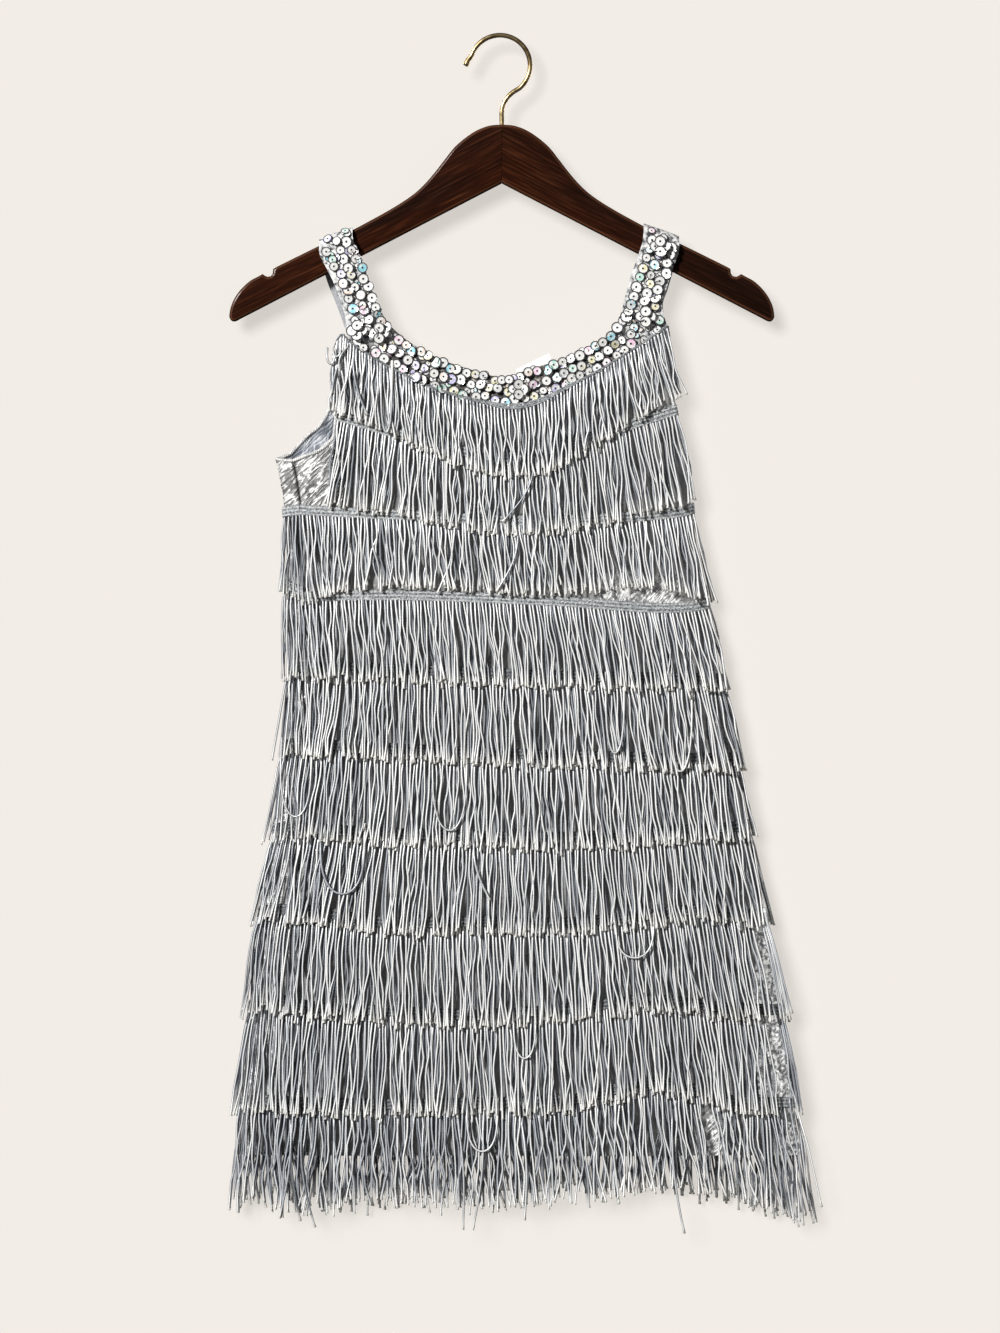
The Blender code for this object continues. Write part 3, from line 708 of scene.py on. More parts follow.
def cord_paths(number, back, pitch, lift, stations, clumps, chance):
    """Paths of one layer of cords. Down a cord, with t from 0 to 1, the sideways shift is its clump's pull
    and lean and its own lean, which grow as a power of t, plus two slow sines."""
    share, place = even_shares(number, back, pitch, chance)
    for tier, first, last in GAPS:
        kept = back or tier != number or (share < first) | (share > last)
        share, place = share[kept].ravel(), place[kept].ravel()
    count = len(share)
    middles, pulls, leans = clumps
    mine = np.abs(place[:, None] - middles[None]).argmin(1)
    header, tips = tier_heights(number, back, share)
    t = np.linspace(0, 1, stations)[None]
    loose = HEM_LOOSE if number == len(TIPS) else 1.0
    drop = (header - tips) * chance.normal(1.0, LENGTH_SPREAD * loose, count)
    drop -= UNDER_LAYER_SHORTER * (lift < 0)
    down = drop[:, None] * t
    down[:, -2] = drop - CUT_END
    t = down / drop[:, None]
    crossing = chance.random(count) < CROSSING
    lean = chance.normal(0, 1.0, count) * np.where(crossing, CROSSING_LEAN, LEAN) * MM
    lean *= np.clip(np.minimum(place, place[-1] - place) / END_FADE, END_LEAN, 1)
    phase = chance.uniform(0, 2 * math.pi, (4, count, 1))
    beats = chance.uniform(*SWAY_BEATS, (count, 1))
    slow = 2 * math.pi * beats * t
    sway = np.sin(slow + phase[0]) * SWAY[0] + np.sin(2 * slow + phase[1]) * SWAY[1]
    pull = (middles[mine] - place) * pulls[mine] + leans[mine] + lean
    aside = pull[:, None] * t**PULL_POWER + sway * loose * np.minimum(t * SWAY_SOON, 1) * MM
    clear = np.clip((down - BRAID_TALL) / BRAID_TALL, 0, 1)
    stands = SWAY_OUT * np.sin(slow + phase[2]) + chance.uniform(*LEAN_OUT, (count, 1)) * t
    out = np.interp(down, *CORDS_OUT.T) + (lift + stands * t * MM) * clear
    return on_tier(number, back, share[:, None], down, out, aside)


def cord_mesh(paths, tone, sides, chance):
    """Cords as tubes of uneven thickness with splayed ends, each point marked with its cord's tone and how
    near it is to the cut end."""
    count, stations = paths.shape[:2]
    radii = CORD_RADIUS * chance.uniform(*CORD_SPREAD, (count, 1)) * np.ones(stations)
    radii[:, -1] *= CUT_SPLAY
    points, faces, uv = tubes(paths, radii, sides)
    # Painted shade on the cords nearest the left edge, against the key light
    left_painted_shade = LEFT_PAINTED_SHADE * np.clip((LEFT_BRIGHT - paths[:, 0, 0]) / LEFT_FADE, 0, 1)
    tones = np.clip(chance.normal(tone, TONE_SPREAD, count) - left_painted_shade, 0, 1)
    cut = np.zeros(stations)
    cut[-2:] = CUT_MARKS
    values = {"tone": np.repeat(tones, stations * sides), "cut": np.tile(np.repeat(cut, sides), count)}
    return points, faces, uv, values


def loose_paths(number, stations):
    """Paths and tones of a front tier's loops and strays. A loop goes x = m - h cos(pi u) and falls by
    sqrt(sin(pi u)). A stray goes from header to tip as u to the power 1.5, plus its bow times sin(pi u)."""
    u = np.linspace(0, 1, stations)
    paths, tones = [], []
    for left, right, low in (MM * np.array(row[1:]) for row in LOOPS if row[0] == number):
        x = (left + right) / 2 - (right - left) / 2 * np.cos(math.pi * u)
        paths.append((x, low, np.sqrt(np.sin(math.pi * u))))
        tones.append(LOOP_TONE)
    for start, end, low, bow in (MM * np.array(row[1:]) for row in STRAYS if row[0] == number):
        paths.append((start + (end - start) * u**1.5 + bow * np.sin(math.pi * u), low, u))
        tones.append(STRAY_TONE)
    share = np.linspace(0, 1, HEADER_POINTS)
    top = on_tier(number, False, share, 0.0, 0.0)
    spots = []
    for x, low, fall in paths:
        header = np.interp(x[0], top[:, 0], top[:, 2])
        clear = np.clip((fall - UNDER_TIER) * OUT_SOON, 0, 0.5)
        out = LOOSE_OUT[0] + LOOSE_OUT[1] * np.sin(math.pi * clear)
        spots.append(hung(x, header - (header - low) * fall, out * MM))
    return np.array(spots), np.array(tones)


def joined(*parts):
    """Several meshes of points, faces, corner UVs and point values as one."""
    points = np.concatenate([part[0] for part in parts])
    starts = np.cumsum([0] + [len(part[0]) for part in parts])
    faces, corners = [], []
    for kind in range(2):
        for part, start in zip(parts, starts):
            size = sum(array.size for array in part[1][:kind])
            faces.append(part[1][kind] + start)
            corners.append(part[2][size : size + part[1][kind].size])
    values = {key: np.concatenate([part[3][key] for part in parts]) for key in parts[0][3]}
    return points, faces, np.concatenate(corners), values


def rayon_cord():
    """Rayon cord: silver grey with a fine twist, each strand a little bluer or creamier, with painted shade
    on the flanks where it lies against its neighbours, and its cut end dry and white."""
    cord = Finish("silver_rayon_cord", Specular_IOR_Level=0.6)
    tone, cut, patches = cord.value("tone"), cord.value("cut"), cord.noise(55, 2.0)
    # Painted shade: each cord is darker on its flanks, as the shade between neighbouring cords
    painted_flank_shade = (cord.uv(0) * (2 * math.pi)).sine() ** 2.0
    shade = ((tone + patches * 0.3 - 0.17).clamp() * (painted_flank_shade * 0.75 + 0.25)).clamp()
    body = cord.ramp(shade, (0.0, (0.025, 0.03, 0.042)), (0.5, (0.39, 0.41, 0.44)), (1.0, (0.98, 0.96, 0.92)))
    cord.set(Base_Color=cord.mix(cut, body, (1.0, 0.97, 0.90)))
    cord.set(Metallic=(1 - cut) * 0.12, Roughness=cut * 0.3 + 0.34)
    cord.relief(((cord.uv(0) + cord.uv(1) * 420) * (2 * math.pi)).sine(), 0.05 * MM, 0.2)
    return cord.material


def braid_mesh(number, back):
    """A tier's header: its section carried along the tier, with three raised rows of stitches. Each point is
    marked as hidden unless the header shows, or is below a gap in the tier above, and hidden points are
    painted in shade by the braid's material."""
    share = np.linspace(0, 1, BRAID_STATIONS)
    tall = np.ones(BRAID_STATIONS)
    if number == 1:
        tall = FIRST_BRAID + (MORE_BRAID - FIRST_BRAID) * np.exp(-(((share - MORE_AT) / MORE_SPREAD) ** 2))
    seen = np.full(BRAID_STATIONS, number <= max(HEADERS))
    for tier, first, last in GAPS:
        seen |= (tier == number - 1 and not back) & (first < share) & (share < last + BRAID_FURTHER)
    rings = on_tier(number, back, share[:, None], BRAID[:, 0] * tall[:, None], BRAID[:, 1])
    return *skin(rings[None], flip=not back), {"hidden": np.repeat(1.0 - seen, len(BRAID))}


def woven_braid():
    """Blue-grey woven header: lock stitches slant across it in rows, silver threads between darker ones.
    Where it is hidden under the tier above, a darker copy of its colours is painted shade.
    """
    braid = Finish("woven_braid", Metallic=0.15)
    rows = (braid.uv(0) * (len(BRAID) * math.pi) + math.pi / 2).sine() * 0.5 + 0.5
    slant = ((braid.uv(1) * 330 + braid.uv(0) * 16) * (2 * math.pi)).sine() * 0.5 + 0.5
    stray = braid.noise(620, 3.0, roughness=0.65)
    thread = (rows * 0.22 + rows * slant * 0.35 + stray * 1.9 - 0.78).clamp()
    colour = braid.ramp(
        thread, (0.05, (0.12, 0.13, 0.14)), (0.40, (0.46, 0.48, 0.49)), (0.90, (0.98, 0.97, 0.94)))
    # Painted shade: a darker copy of the braid's colours, for where it is hidden under the tier above
    shaded = braid.ramp(thread, (0.05, (0.05, 0.055, 0.06)), (0.40, (0.16, 0.17, 0.18)), (0.90, 0.48))
    braid.set(Base_Color=braid.mix(braid.value("hidden"), colour, shaded), Roughness=0.5 - 0.15 * thread)
    braid.relief(thread, 0.8 * MM, 1.0)
    return braid.material


CORD = rayon_cord()
BRAID_CLOTH = woven_braid()
LOOSE_TIERS = {row[0] for row in LOOPS + STRAYS}
trim = {False: [], True: []}
for back, side in SIDES:
    for number in range(1, len(TIPS) + 1):
        chance = np.random.default_rng(100 * number + back)
        clumps = clumps_along(number, back, chance)
        stations, corners = CORD_GRID[back]
        parts = []
        for lift, tone, *sparser in LAYERS:
            pitch = CORD_PITCH * (sparser[back] if number == len(TIPS) else 1.0)
            paths = cord_paths(number, back, pitch, lift, stations, clumps, chance)
            tone += 0.0 if back else PALER.get(number, 0.0)
            parts.append(cord_mesh(paths, tone, corners, chance))
        if not back and number in LOOSE_TIERS:
            parts.append(cord_mesh(*loose_paths(number, stations + LOOSE_STATIONS), corners, chance))
        cords, header = joined(*parts), braid_mesh(number, back)
        for kind, (points, faces, uv, marks), finish, solids in (
            ("cords", cords, CORD, [f"fringe_{side}_{number:02d}"]), ("braid", header, BRAID_CLOTH, []),
        ):
            piece = build(f"{side}_{kind}_{number:02d}", points, *faces, values=marks, uv=uv)
            dress(piece, finish, "fringe", *solids)
            trim[back].append(piece)


# ---------------------------------------------------------------- neckband and straps
# A satin band runs round the neck and up into two straps, which lie over the hanger's arms and meet in
# seams there. The front one is covered with holographic sequins, each sewn through its middle, and with
# five flowers of four sequins.

BAND = 1.8 * MM
SHOULDER_GAP = 0.3 * MM
STRAP_LIFT = 4 * MM
STRAP_RISE = MM * np.array([4.7, 7.2, 8.4])
STEM_X = 1.5 * MM
# Top edge of a hanger arm: distance from the middle joint, height
BELL_AND_ARM = MM * np.array([
    (0, -71.5), (9.9, -72.4), (19.8, -76), (29.2, -82), (38.5, -90), (46.5, -100), (54, -109.7),
    (62.1, -119.2), (70.8, -127.5), (80.7, -134.6), (92, -141.5), (105.8, -149.2), (123.6, -158.6),
    (150, -171.1), (183.8, -187.8),
])
# The band's grid: points across, then rows up a strap, round the turn over the arm and along the scoop
BAND_ACROSS, STRAP_ROWS, TURN_ROWS, SCOOP_ROWS = 13, 23, 9, 110
# Below this height, and over this distance, a strap's satin gives way to the scoop's taupe threads
STRAP_FROM, STRAP_FADE = -262 * MM, 20 * MM


def band_grids(back):
    """Inner and outer faces of the neckband: straight across between its two edges on the oval, then a
    quarter round over the hanger's arm at both ends, as high as the rise and as deep as the strap there."""
    left, scoop, right = stations_of(back, SCOOP_ROWS)
    left, right = rows_through(left, STRAP_ROWS + 1)[:-1], rows_through(right, STRAP_ROWS + 1)[1:]
    table = np.concatenate([left, scoop, right])
    across = np.linspace(0, 1, BAND_ACROSS)
    x, z = (blend(table[:, [axis]], table[:, [axis + 2]], across) for axis in (0, 1))
    side = 1 if back else -1
    for end in (0, -1):
        z[end] = np.interp(np.abs(x[end] - STEM_X), *BELL_AND_ARM.T) - STRAP_LIFT
    around = around_at(x, z, back)
    faces = [cloth(around, z), cloth(around, z, BAND)]
    rise = np.interp(across, (0, 0.5, 1), STRAP_RISE)
    turn = np.radians(np.linspace(0, 90, TURN_ROWS + 1))[1:, None]
    for end in (0, -1):
        reach = np.abs(faces[0][end, :, 1])
        depth = side * np.maximum(reach * np.cos(turn), SHOULDER_GAP / 2)
        normal = np.stack(np.broadcast_arrays(0, side * rise * np.cos(turn), reach * np.sin(turn)), -1)
        bend = np.stack(np.broadcast_arrays(x[end], depth, z[end] + rise * np.sin(turn)), -1)
        for face, out in ((0, 0), (1, BAND)):
            rows = bend + unit(normal) * out
            faces[face] = np.concatenate([rows[::-1], faces[face]] if end == 0 else [faces[face], rows])
    return faces


def band_satin():
    """Dull grey satin ribbon with a fine cross weave, a little creased."""
    satin = Finish("band_satin", Metallic=0.2)
    weave, cloud = satin.noise(1500, 1.0), satin.noise(140, 3.0)
    colour = satin.ramp(cloud, (0.3, (0.34, 0.35, 0.37)), (0.7, (0.66, 0.66, 0.67)))
    satin.set(Base_Color=colour, Roughness=0.35 + 0.2 * weave)
    satin.relief(weave + cloud * 2, 0.4 * MM, 0.7)
    return satin.material


def sequin_ground():
    """The cloth under the sequins: crinkled silver satin on the straps, and taupe round the scoop, both in
    small uneven patches whose darkest parts are painted shade under and between the sequins."""
    ground = Finish("sequin_ground", Roughness=0.5)
    patches = ground.noise(260, 3.0)
    # Painted shade: the near black low ends of these ramps stand for the shade under and between the sequins
    taupe = ground.ramp(
        patches, (0.40, (0.020, 0.019, 0.020)), (0.54, (0.13, 0.115, 0.10)), (0.68, (0.62, 0.58, 0.52)))
    silver = ground.ramp(patches, (0.36, (0.06, 0.062, 0.068)), (0.47, 0.50), (0.60, (0.90, 0.89, 0.87)))
    lining = ground.ramp(patches, (0.3, (0.34, 0.35, 0.37)), (0.7, (0.56, 0.56, 0.57)))
    outside = ground.mix(ground.value("strap"), taupe, silver)
    ground.set(Base_Color=ground.mix(ground.value("inside"), outside, lining))
    ground.relief(patches, 0.8 * MM, 0.9)
    return ground.material


BAND_SATIN, SEQUIN_GROUND = band_satin(), sequin_ground()
band_outer = {}
for back, side in SIDES:
    inner, band_outer[back] = band_grids(back)
    strap = np.clip((inner[..., 2] - STRAP_FROM) / STRAP_FADE, 0, 1)
    bands[back] = sheet_of(f"{side}_neckband_cloth", inner, band_outer[back], {"strap": strap})
    finish, slot = (BAND_SATIN, "satin") if back else (SEQUIN_GROUND, "sequins")
    dress(bands[back], finish, slot, f"neckband_{side}")

# A sequin's profile as shares of its radius: distance from its middle, height, and how near its rim that is
SEQUIN = np.array([
    (0.14, 0.0, 0.0), (0.2, 0.05, 0.22), (0.62, 0.02, 0.6), (1.0, 0.10, 1.0), (0.97, 0.02, 1.0),
    (0.14, -0.06, 0.0),
])
SEQUIN_SIDES = 10
SEQUIN_TILT = 0.19
# Large sequins lie in three lines along the band: their shares across it, and the pitch along it
SEQUIN_LINES, SEQUIN_PITCH = (0.13, 0.5, 0.87), 7.9 * MM
SMALL_SEQUINS = 230
# Radii of large and small sequins, the radius between the two, and how far each kind stands off the band
LARGE_RADII, SMALL_RADII, LARGE_SEQUIN = (3.7, 5.1), (2.2, 3.5), 3.6 * MM
LARGE_STANDS, SMALL_STANDS = (1.1, 2.0), (0.3, 0.8)
# How far a sequin is off its place: metres along the band, and share across it, which is at least the last
OFF_PLACE, LEAST_ACROSS = (1.0 * MM, 0.04), 0.03
# Sequins keep off the strap's end, and off these shares of its width: at the left and the right strap's outer
# edge, at its neck edge near the end, and at the right strap's neck edge. They begin over these distances
STRAP_BARE, OUTER_BARE, END_BARE, NECK_BARE = 10 * MM, (0.16, 0.10), 0.16, 0.13
BARE_FROM, END_FROM = 12 * MM, 30 * MM
# Tints of the holographic film, one to each sequin
TINTS = np.array([
    (0.93, 0.92, 0.88), (0.93, 0.92, 0.88), (0.90, 0.90, 0.88), (0.95, 0.93, 0.87), (0.80, 0.80, 0.80),
    (0.90, 0.88, 0.84), (0.36, 0.76, 0.86), (0.95, 0.66, 0.80), (0.92, 0.86, 0.56), (0.56, 0.84, 0.72),
    (0.68, 0.63, 0.93), (0.84, 0.70, 0.60),
])
# Middles of the sequin flowers on the band: x, z. Each is four sequins round a middle that stands off the
# band, where others are cleared away, and they lie one over another
FLOWERS = MM * np.array([(-99, -243), (-117, -241), (15, -289), (119, -229.4), (130.9, -172)])
FLOWER_CLEAR, FLOWER_OFF, PETAL_OUT, PETAL_RADIUS = 5.5 * MM, 0.6 * MM, 4.2 * MM, 4.9 * MM
PETAL_STANDS = np.array((-0.2, -0.5, -0.35, -0.65))
PETALS, PETAL_FACES = len(PETAL_STANDS), (0.0, -1.0, 0.1)
# A direction out of the band, and one that no sequin's axis has
OUT_OF_BAND, OFF_AXIS = (0, -1, 0.2), (0.3, 0.2, 1.0)
# A place on a grid stays this far below the number of its rows, so that it is inside the last square
INSIDE_LAST = 1.001


def scatter_rows(outer, chance):
    """Places on the band as row and column numbers of its grid, and radii: lines of large sequins a pitch
    apart, every second line moved half a pitch, over a scatter of small ones, all a little off place."""
    length = lengths_along(outer[:, BAND_ACROSS // 2])
    ends = STRAP_BARE, length[-1] - STRAP_BARE
    places = []
    for line, across in enumerate(SEQUIN_LINES):
        along = np.arange(ends[0] + SEQUIN_PITCH * 0.5 * (line % 2), ends[1], SEQUIN_PITCH)
        places.append(np.stack([along, np.full(len(along), across)], -1))
    large = sum(map(len, places))
    places.append(np.stack([chance.uniform(*span, SMALL_SEQUINS) for span in (ends, (0, 1))], -1))
    places = np.concatenate(places)
    along, across = (places + chance.normal(0, 1, places.shape) * OFF_PLACE).T
    spans = (LARGE_RADII, large), (SMALL_RADII, SMALL_SEQUINS)
    radii = [chance.uniform(*span, count) for span, count in spans]
    end = STRAP_ROWS + TURN_ROWS
    on_left = np.clip((length[end] - along) / BARE_FROM, 0, 1)
    on_right = np.clip((along - length[-end]) / BARE_FROM, 0, 1)
    far = on_left * OUTER_BARE[0] + on_right * OUTER_BARE[1]
    near = np.clip(1 - np.minimum(along, length[-1] - along) / END_FROM, 0, 1) * END_BARE
    near = np.maximum(near, on_right * NECK_BARE)
    across = near + np.clip(across, LEAST_ACROSS, 1.0) * (1 - far - near)
    row = np.interp(along, length, np.arange(len(length)))
    return row, across * (BAND_ACROSS - 1), np.concatenate(radii) * MM


def on_grid(grid, row, column):
    """Points and unit normals of a grid at fractional row and column numbers, by blending four corners."""
    row = np.clip(row, 0, grid.shape[0] - INSIDE_LAST)
    inside = np.clip(column, 0, grid.shape[1] - INSIDE_LAST)
    i, j = row.astype(int), inside.astype(int)
    u, v = (row - i)[:, None], (column - j)[:, None]
    a, b, c, d = grid[i, j], grid[i, j + 1], grid[i + 1, j], grid[i + 1, j + 1]
    normal = unit(np.cross(b - a, c - a))
    normal *= np.sign((normal * OUT_OF_BAND).sum(1, keepdims=True))
    return blend(blend(a, b, v), blend(c, d, v), u), normal


def sequin_mesh(points, normals, radii, tint, chance):
    """Cupped discs: the profile turned about each one's own axis, which leans off the surface's normal by the
    tilt. Each point is marked with its sequin's tint and how near the rim it is."""
    count = len(points)
    axis = unit(normals + chance.normal(0, 1, (count, 3)) * SEQUIN_TILT)
    side = unit(np.cross(axis, OFF_AXIS))
    up = np.cross(axis, side)
    turn = (np.arange(SEQUIN_SIDES) + 0.5) * 2 * math.pi / SEQUIN_SIDES
    circle = side[:, None] * np.cos(turn)[:, None] + up[:, None] * np.sin(turn)[:, None]
    reach, rise, rim = SEQUIN.T
    rings = circle[:, None] * reach[:, None, None] + axis[:, None, None] * rise[:, None, None]
    spots = points[:, None, None] + rings * radii[:, None, None, None]
    index = np.arange(count * len(SEQUIN) * SEQUIN_SIDES).reshape(count, len(SEQUIN), SEQUIN_SIDES)
    after = np.roll(index, -1, 2)
    walls = np.stack([index, after, np.roll(after, -1, 1), np.roll(index, -1, 1)], -1)[:, 1:].reshape(-1, 4)
    corners = len(SEQUIN) * SEQUIN_SIDES
    values = {
        "rim": np.tile(np.repeat(rim, SEQUIN_SIDES), count),
        "tint": np.repeat(np.concatenate([tint, np.ones((count, 1))], 1), corners, axis=0),
    }
    return spots.reshape(-1, 3), (walls, index[:, 0]), values


def sequin_foil():
    """Pearly holographic plastic: cream white, with a patch of its own tint. Its rim is painted dark as
    shade, and its hole is painted dark for the band behind it and the shade there.
    """
    foil = Finish("pearl_sequin", Specular_IOR_Level=0.7, Coat_Roughness=0.08, Coat_Weight=0.6)
    glint = foil.noise(330, 1.0)
    patch = foil.ramp(glint, (0.47, 0), (0.55, 1))
    pearl = foil.ramp(foil.noise(90, 2.0), (0.35, (0.92, 0.91, 0.88)), (0.65, (1.0, 0.99, 0.96)))
    face = foil.mix(patch, pearl, foil.value("tint", "Color"))
    # Painted shade: dark at the rim, and dark at the hole for the band behind it and its shade
    edge = foil.ramp(foil.value("rim"), (0.0, 1), (0.13, 1), (0.24, 0), (0.72, 0), (0.86, 1))
    foil.set(Base_Color=foil.mix(edge, face, (0.03, 0.03, 0.038)), Roughness=0.16 + 0.2 * glint)
    foil.relief(foil.noise(500, 1.0), 0.3 * MM, 0.4)
    return foil.material


chance = np.random.default_rng(7)
row, column, radii = scatter_rows(band_outer[False], chance)
points, normals = on_grid(band_outer[False], row, column)
tint = TINTS[chance.integers(0, len(TINTS), len(points))]
round_flower = np.arange(PETALS) * math.pi * 2 / PETALS
petals = np.stack([np.cos(round_flower), PETAL_STANDS, np.sin(round_flower)], -1) * PETAL_OUT
for x, z in FLOWERS:
    nearest = np.linalg.norm(points[:, [0, 2]] - (x, z), axis=1)
    keep = nearest > FLOWER_CLEAR
    centre = np.array([x, points[nearest.argmin(), 1] - FLOWER_OFF, z])
    points = np.concatenate([points[keep], centre + petals])
    normals = np.concatenate([normals[keep], np.tile(PETAL_FACES, (PETALS, 1))])
    radii = np.concatenate([radii[keep], np.full(PETALS, PETAL_RADIUS)])
    tint = np.concatenate([tint[keep], TINTS[:PETALS]])
high, low = (chance.uniform(*span, len(points)) * MM for span in (LARGE_STANDS, SMALL_STANDS))
points = points + normals * np.where(radii > LARGE_SEQUIN, high, low)[:, None]
spots, faces, values = sequin_mesh(points, normals, radii, tint, chance)
sequins = build("front_sequins", spots, *faces, values=values)
sequins.data.polygons.foreach_set("use_smooth", np.zeros(len(sequins.data.polygons), bool))
dress(sequins, sequin_foil(), "sequins")


# ---------------------------------------------------------------- armhole edges
# The raw edges of both armholes are overlocked: two strands of silver thread twist along each of them, and
# stand on it like a fine rope.

# How far the rope's middle lies out from the oval, and its strands from its middle
ROPE_LIFT, ROPE_OUT = 0.6 * MM, 0.8 * MM
STRAND_RADIUS, STRAND_TWIST = 1.0 * MM, 3.4 * MM
ROPE_STATIONS, STRAND_CORNERS = 150, 6


def rope_along(places, strand):
    """One strand of a rope along an edge on the oval: the edge's points moved round a circle across it."""
    edge = evenly(cloth(places[:, 0], places[:, 1], ROPE_LIFT), ROPE_STATIONS)
    turn = (np.linspace(0, lengths_along(edge)[-1] / STRAND_TWIST * 2, len(edge)) + strand) * math.pi
    run = unit(np.gradient(edge, axis=0))
    side = np.cross(run, (0, 1, 0))
    up = np.cross(side, run)
    return edge + ROPE_OUT * (side * np.cos(turn)[:, None] + up * np.sin(turn)[:, None])


def overlock_thread():
    """Silver grey thread, twisted, with a soft sheen."""
    thread = Finish("overlock_thread", Metallic=0.1)
    ply = (thread.uv(1) * 900 * (2 * math.pi)).sine()
    thread.set(Base_Color=thread.ramp(thread.noise(200, 2.0), (0.3, 0.44), (0.7, (0.82, 0.80, 0.76))))
    thread.set(Roughness=0.45 + 0.1 * ply)
    thread.relief(ply, 0.1 * MM, 0.4)
    return thread.material


OVERLOCK = overlock_thread()
for back, side in SIDES:
    for end, places in zip("ab", armhole_edges[back]):
        strands = np.stack([rope_along(places, strand) for strand in (0, 1)])
        points, faces, uv = tubes(strands, STRAND_RADIUS, STRAND_CORNERS)
        rope = build(f"{side}_armhole_edge_{end}", points, *faces, uv=uv)
        dress(rope, OVERLOCK, "satin")
        trim[back].append(rope)


# ---------------------------------------------------------------- label
# A blank woven label of white satin tape stands up from inside the back neckband. Its lower edge is sewn in,
# and the rest has curled a little with wear.

LABEL_MIDDLE = MM * np.array([30, -272])
LABEL_SIZE = MM * np.array([30, 16])
LABEL_TILT = math.radians(26)
LABEL_THICK = 0.6 * MM
LABEL_COLUMNS, LABEL_ROWS = 25, 13
# How far it stands off the band, and how deep, long and wide its waves are
LABEL_OFF, LABEL_CURL, WAVE_LONG, WAVE_WIDE = 0.3 * MM, 0.5 * MM, 5 * MM, 6 * MM


def label_tape():
    """White satin tape with fine ribs along it."""
    tape = Finish("label_tape")
    ribs = (tape.node("SeparateXYZ", {}, {"Vector": tape.place()}, 2) * 9000).sine()
    tape.set(Base_Color=tape.ramp(tape.noise(300, 2.0), (0.3, (0.95, 0.94, 0.92)), (0.7, (1.0, 1.0, 0.99))))
    tape.set(Roughness=0.55 + 0.1 * ribs)
    tape.relief(ribs, 0.05 * MM, 0.4)
    return tape.material


wide, tall = LABEL_SIZE
along, up = np.meshgrid(
    np.linspace(-0.5, 0.5, LABEL_COLUMNS) * wide, np.linspace(-0.5, 0.5, LABEL_ROWS) * tall)
x = LABEL_MIDDLE[0] + along * math.cos(LABEL_TILT) - up * math.sin(LABEL_TILT)
z = LABEL_MIDDLE[1] + along * math.sin(LABEL_TILT) + up * math.cos(LABEL_TILT)
off = LABEL_OFF + LABEL_CURL * (1 + np.sin(along / WAVE_LONG) * np.sin(up / WAVE_WIDE))
around = around_at(x, z, True)
label = sheet_of("blank_label", cloth(around, z, -off - LABEL_THICK), cloth(around, z, -off))
dress(label, label_tape(), "label", "neck_label")


# A width and an area where the cut is shaped, for each cloth; nothing reads them
for back, _ in SIDES:
    wide, area = (0.48, 0.258) if back else (0.44, 0.236)


# ---------------------------------------------------------------- hanger
# Two arms of dark stained and lacquered wood meet in a glued joint under the hook. Each is sawn from a
# plank with the grain along the arm, notched for straps near its end, and its edges are rounded over.

WOOD_THICK = 12 * MM
WOOD_ROUND = 2.5 * MM
# Points along an arm's top and round its end, rings to a rounded edge, and the angle from which edges show
ARM_POINTS, END_POINTS, ROUND_RINGS, SHARP_WOOD = 90, 40, 7, math.radians(38)
# How far the grain shifts across from an arm's front to its back, as a share of its thickness
GRAIN_DEPTH = 0.8
# The ring of points along the front edge that is palest and glossiest, as wear and as a painted highlight,
# and how many rings that takes in
WORN_HIGHLIT_RING, WORN_HIGHLIT_SPREAD = 2, 1.2
JOINT_GAP = 0.3 * MM
GLUE_BACK = 0.5 * MM
GLUE_LAP = 0.1 * MM
STRAP_NOTCH = MM * np.array([
    (187.1, -189.7), (187.5, -193.6), (189, -195.6), (191.7, -196.2), (193.9, -195.3), (195.7, -193.9)])
ARM_END = MM * np.array([
    (199.2, -195.8), (206.4, -199.8), (213.2, -206.1), (218.3, -213), (221.7, -220.5), (223, -227.5),
    (222.6, -230.2), (220.9, -232.2), (218.0, -232.4), (214.0, -230.4)])
UNDERSIDE_APEX = MM * np.array([(0, -119.5)])
# Distance from the joint, and how deeply the left and the right arm are stained there
STAIN = (MM, 1, 1) * np.array([
    (0, 0.0, 0.0), (25, 0.05, 0.15), (45, 0.25, 0.6), (70, 0.7, 0.8), (90, 0.9, 0.9), (140, 0.85, 0.9),
    (175, 0.15, 0.9), (225, 0.2, 0.9)])
# The same by height, for the crown over the joint
CROWN_STAIN = (MM, 1) * np.array([(-112, 0), (-80, 0.5)])
# The wood's colours from the darkest of its grain to the palest, where it is stained least and most
WOOD_TONES = (
    ((0.005, 0.0011, 0.0004), (0.024, 0.0048, 0.0014), (0.080, 0.020, 0.0055)),
    ((0.001, 0.0005, 0.0004), (0.0045, 0.0014, 0.0010), (0.018, 0.006, 0.004)),
)
GRAIN_SLOPE = math.radians(-27)


def inset(outline, distance):
    """An outline moved inwards: each corner goes back along its mitre. Its two ends stay on the joint."""
    mirror = np.array((-1, 1))
    padded = np.concatenate([[outline[1] * mirror], outline, [outline[-2] * mirror]])
    run = np.diff(padded, axis=0)
    normal = unit(np.stack([-run[:, 1], run[:, 0]], -1))
    before, after = normal[:-1], normal[1:]
    return outline - distance * (before + after) / (1 + (before * after).sum(1))[:, None]


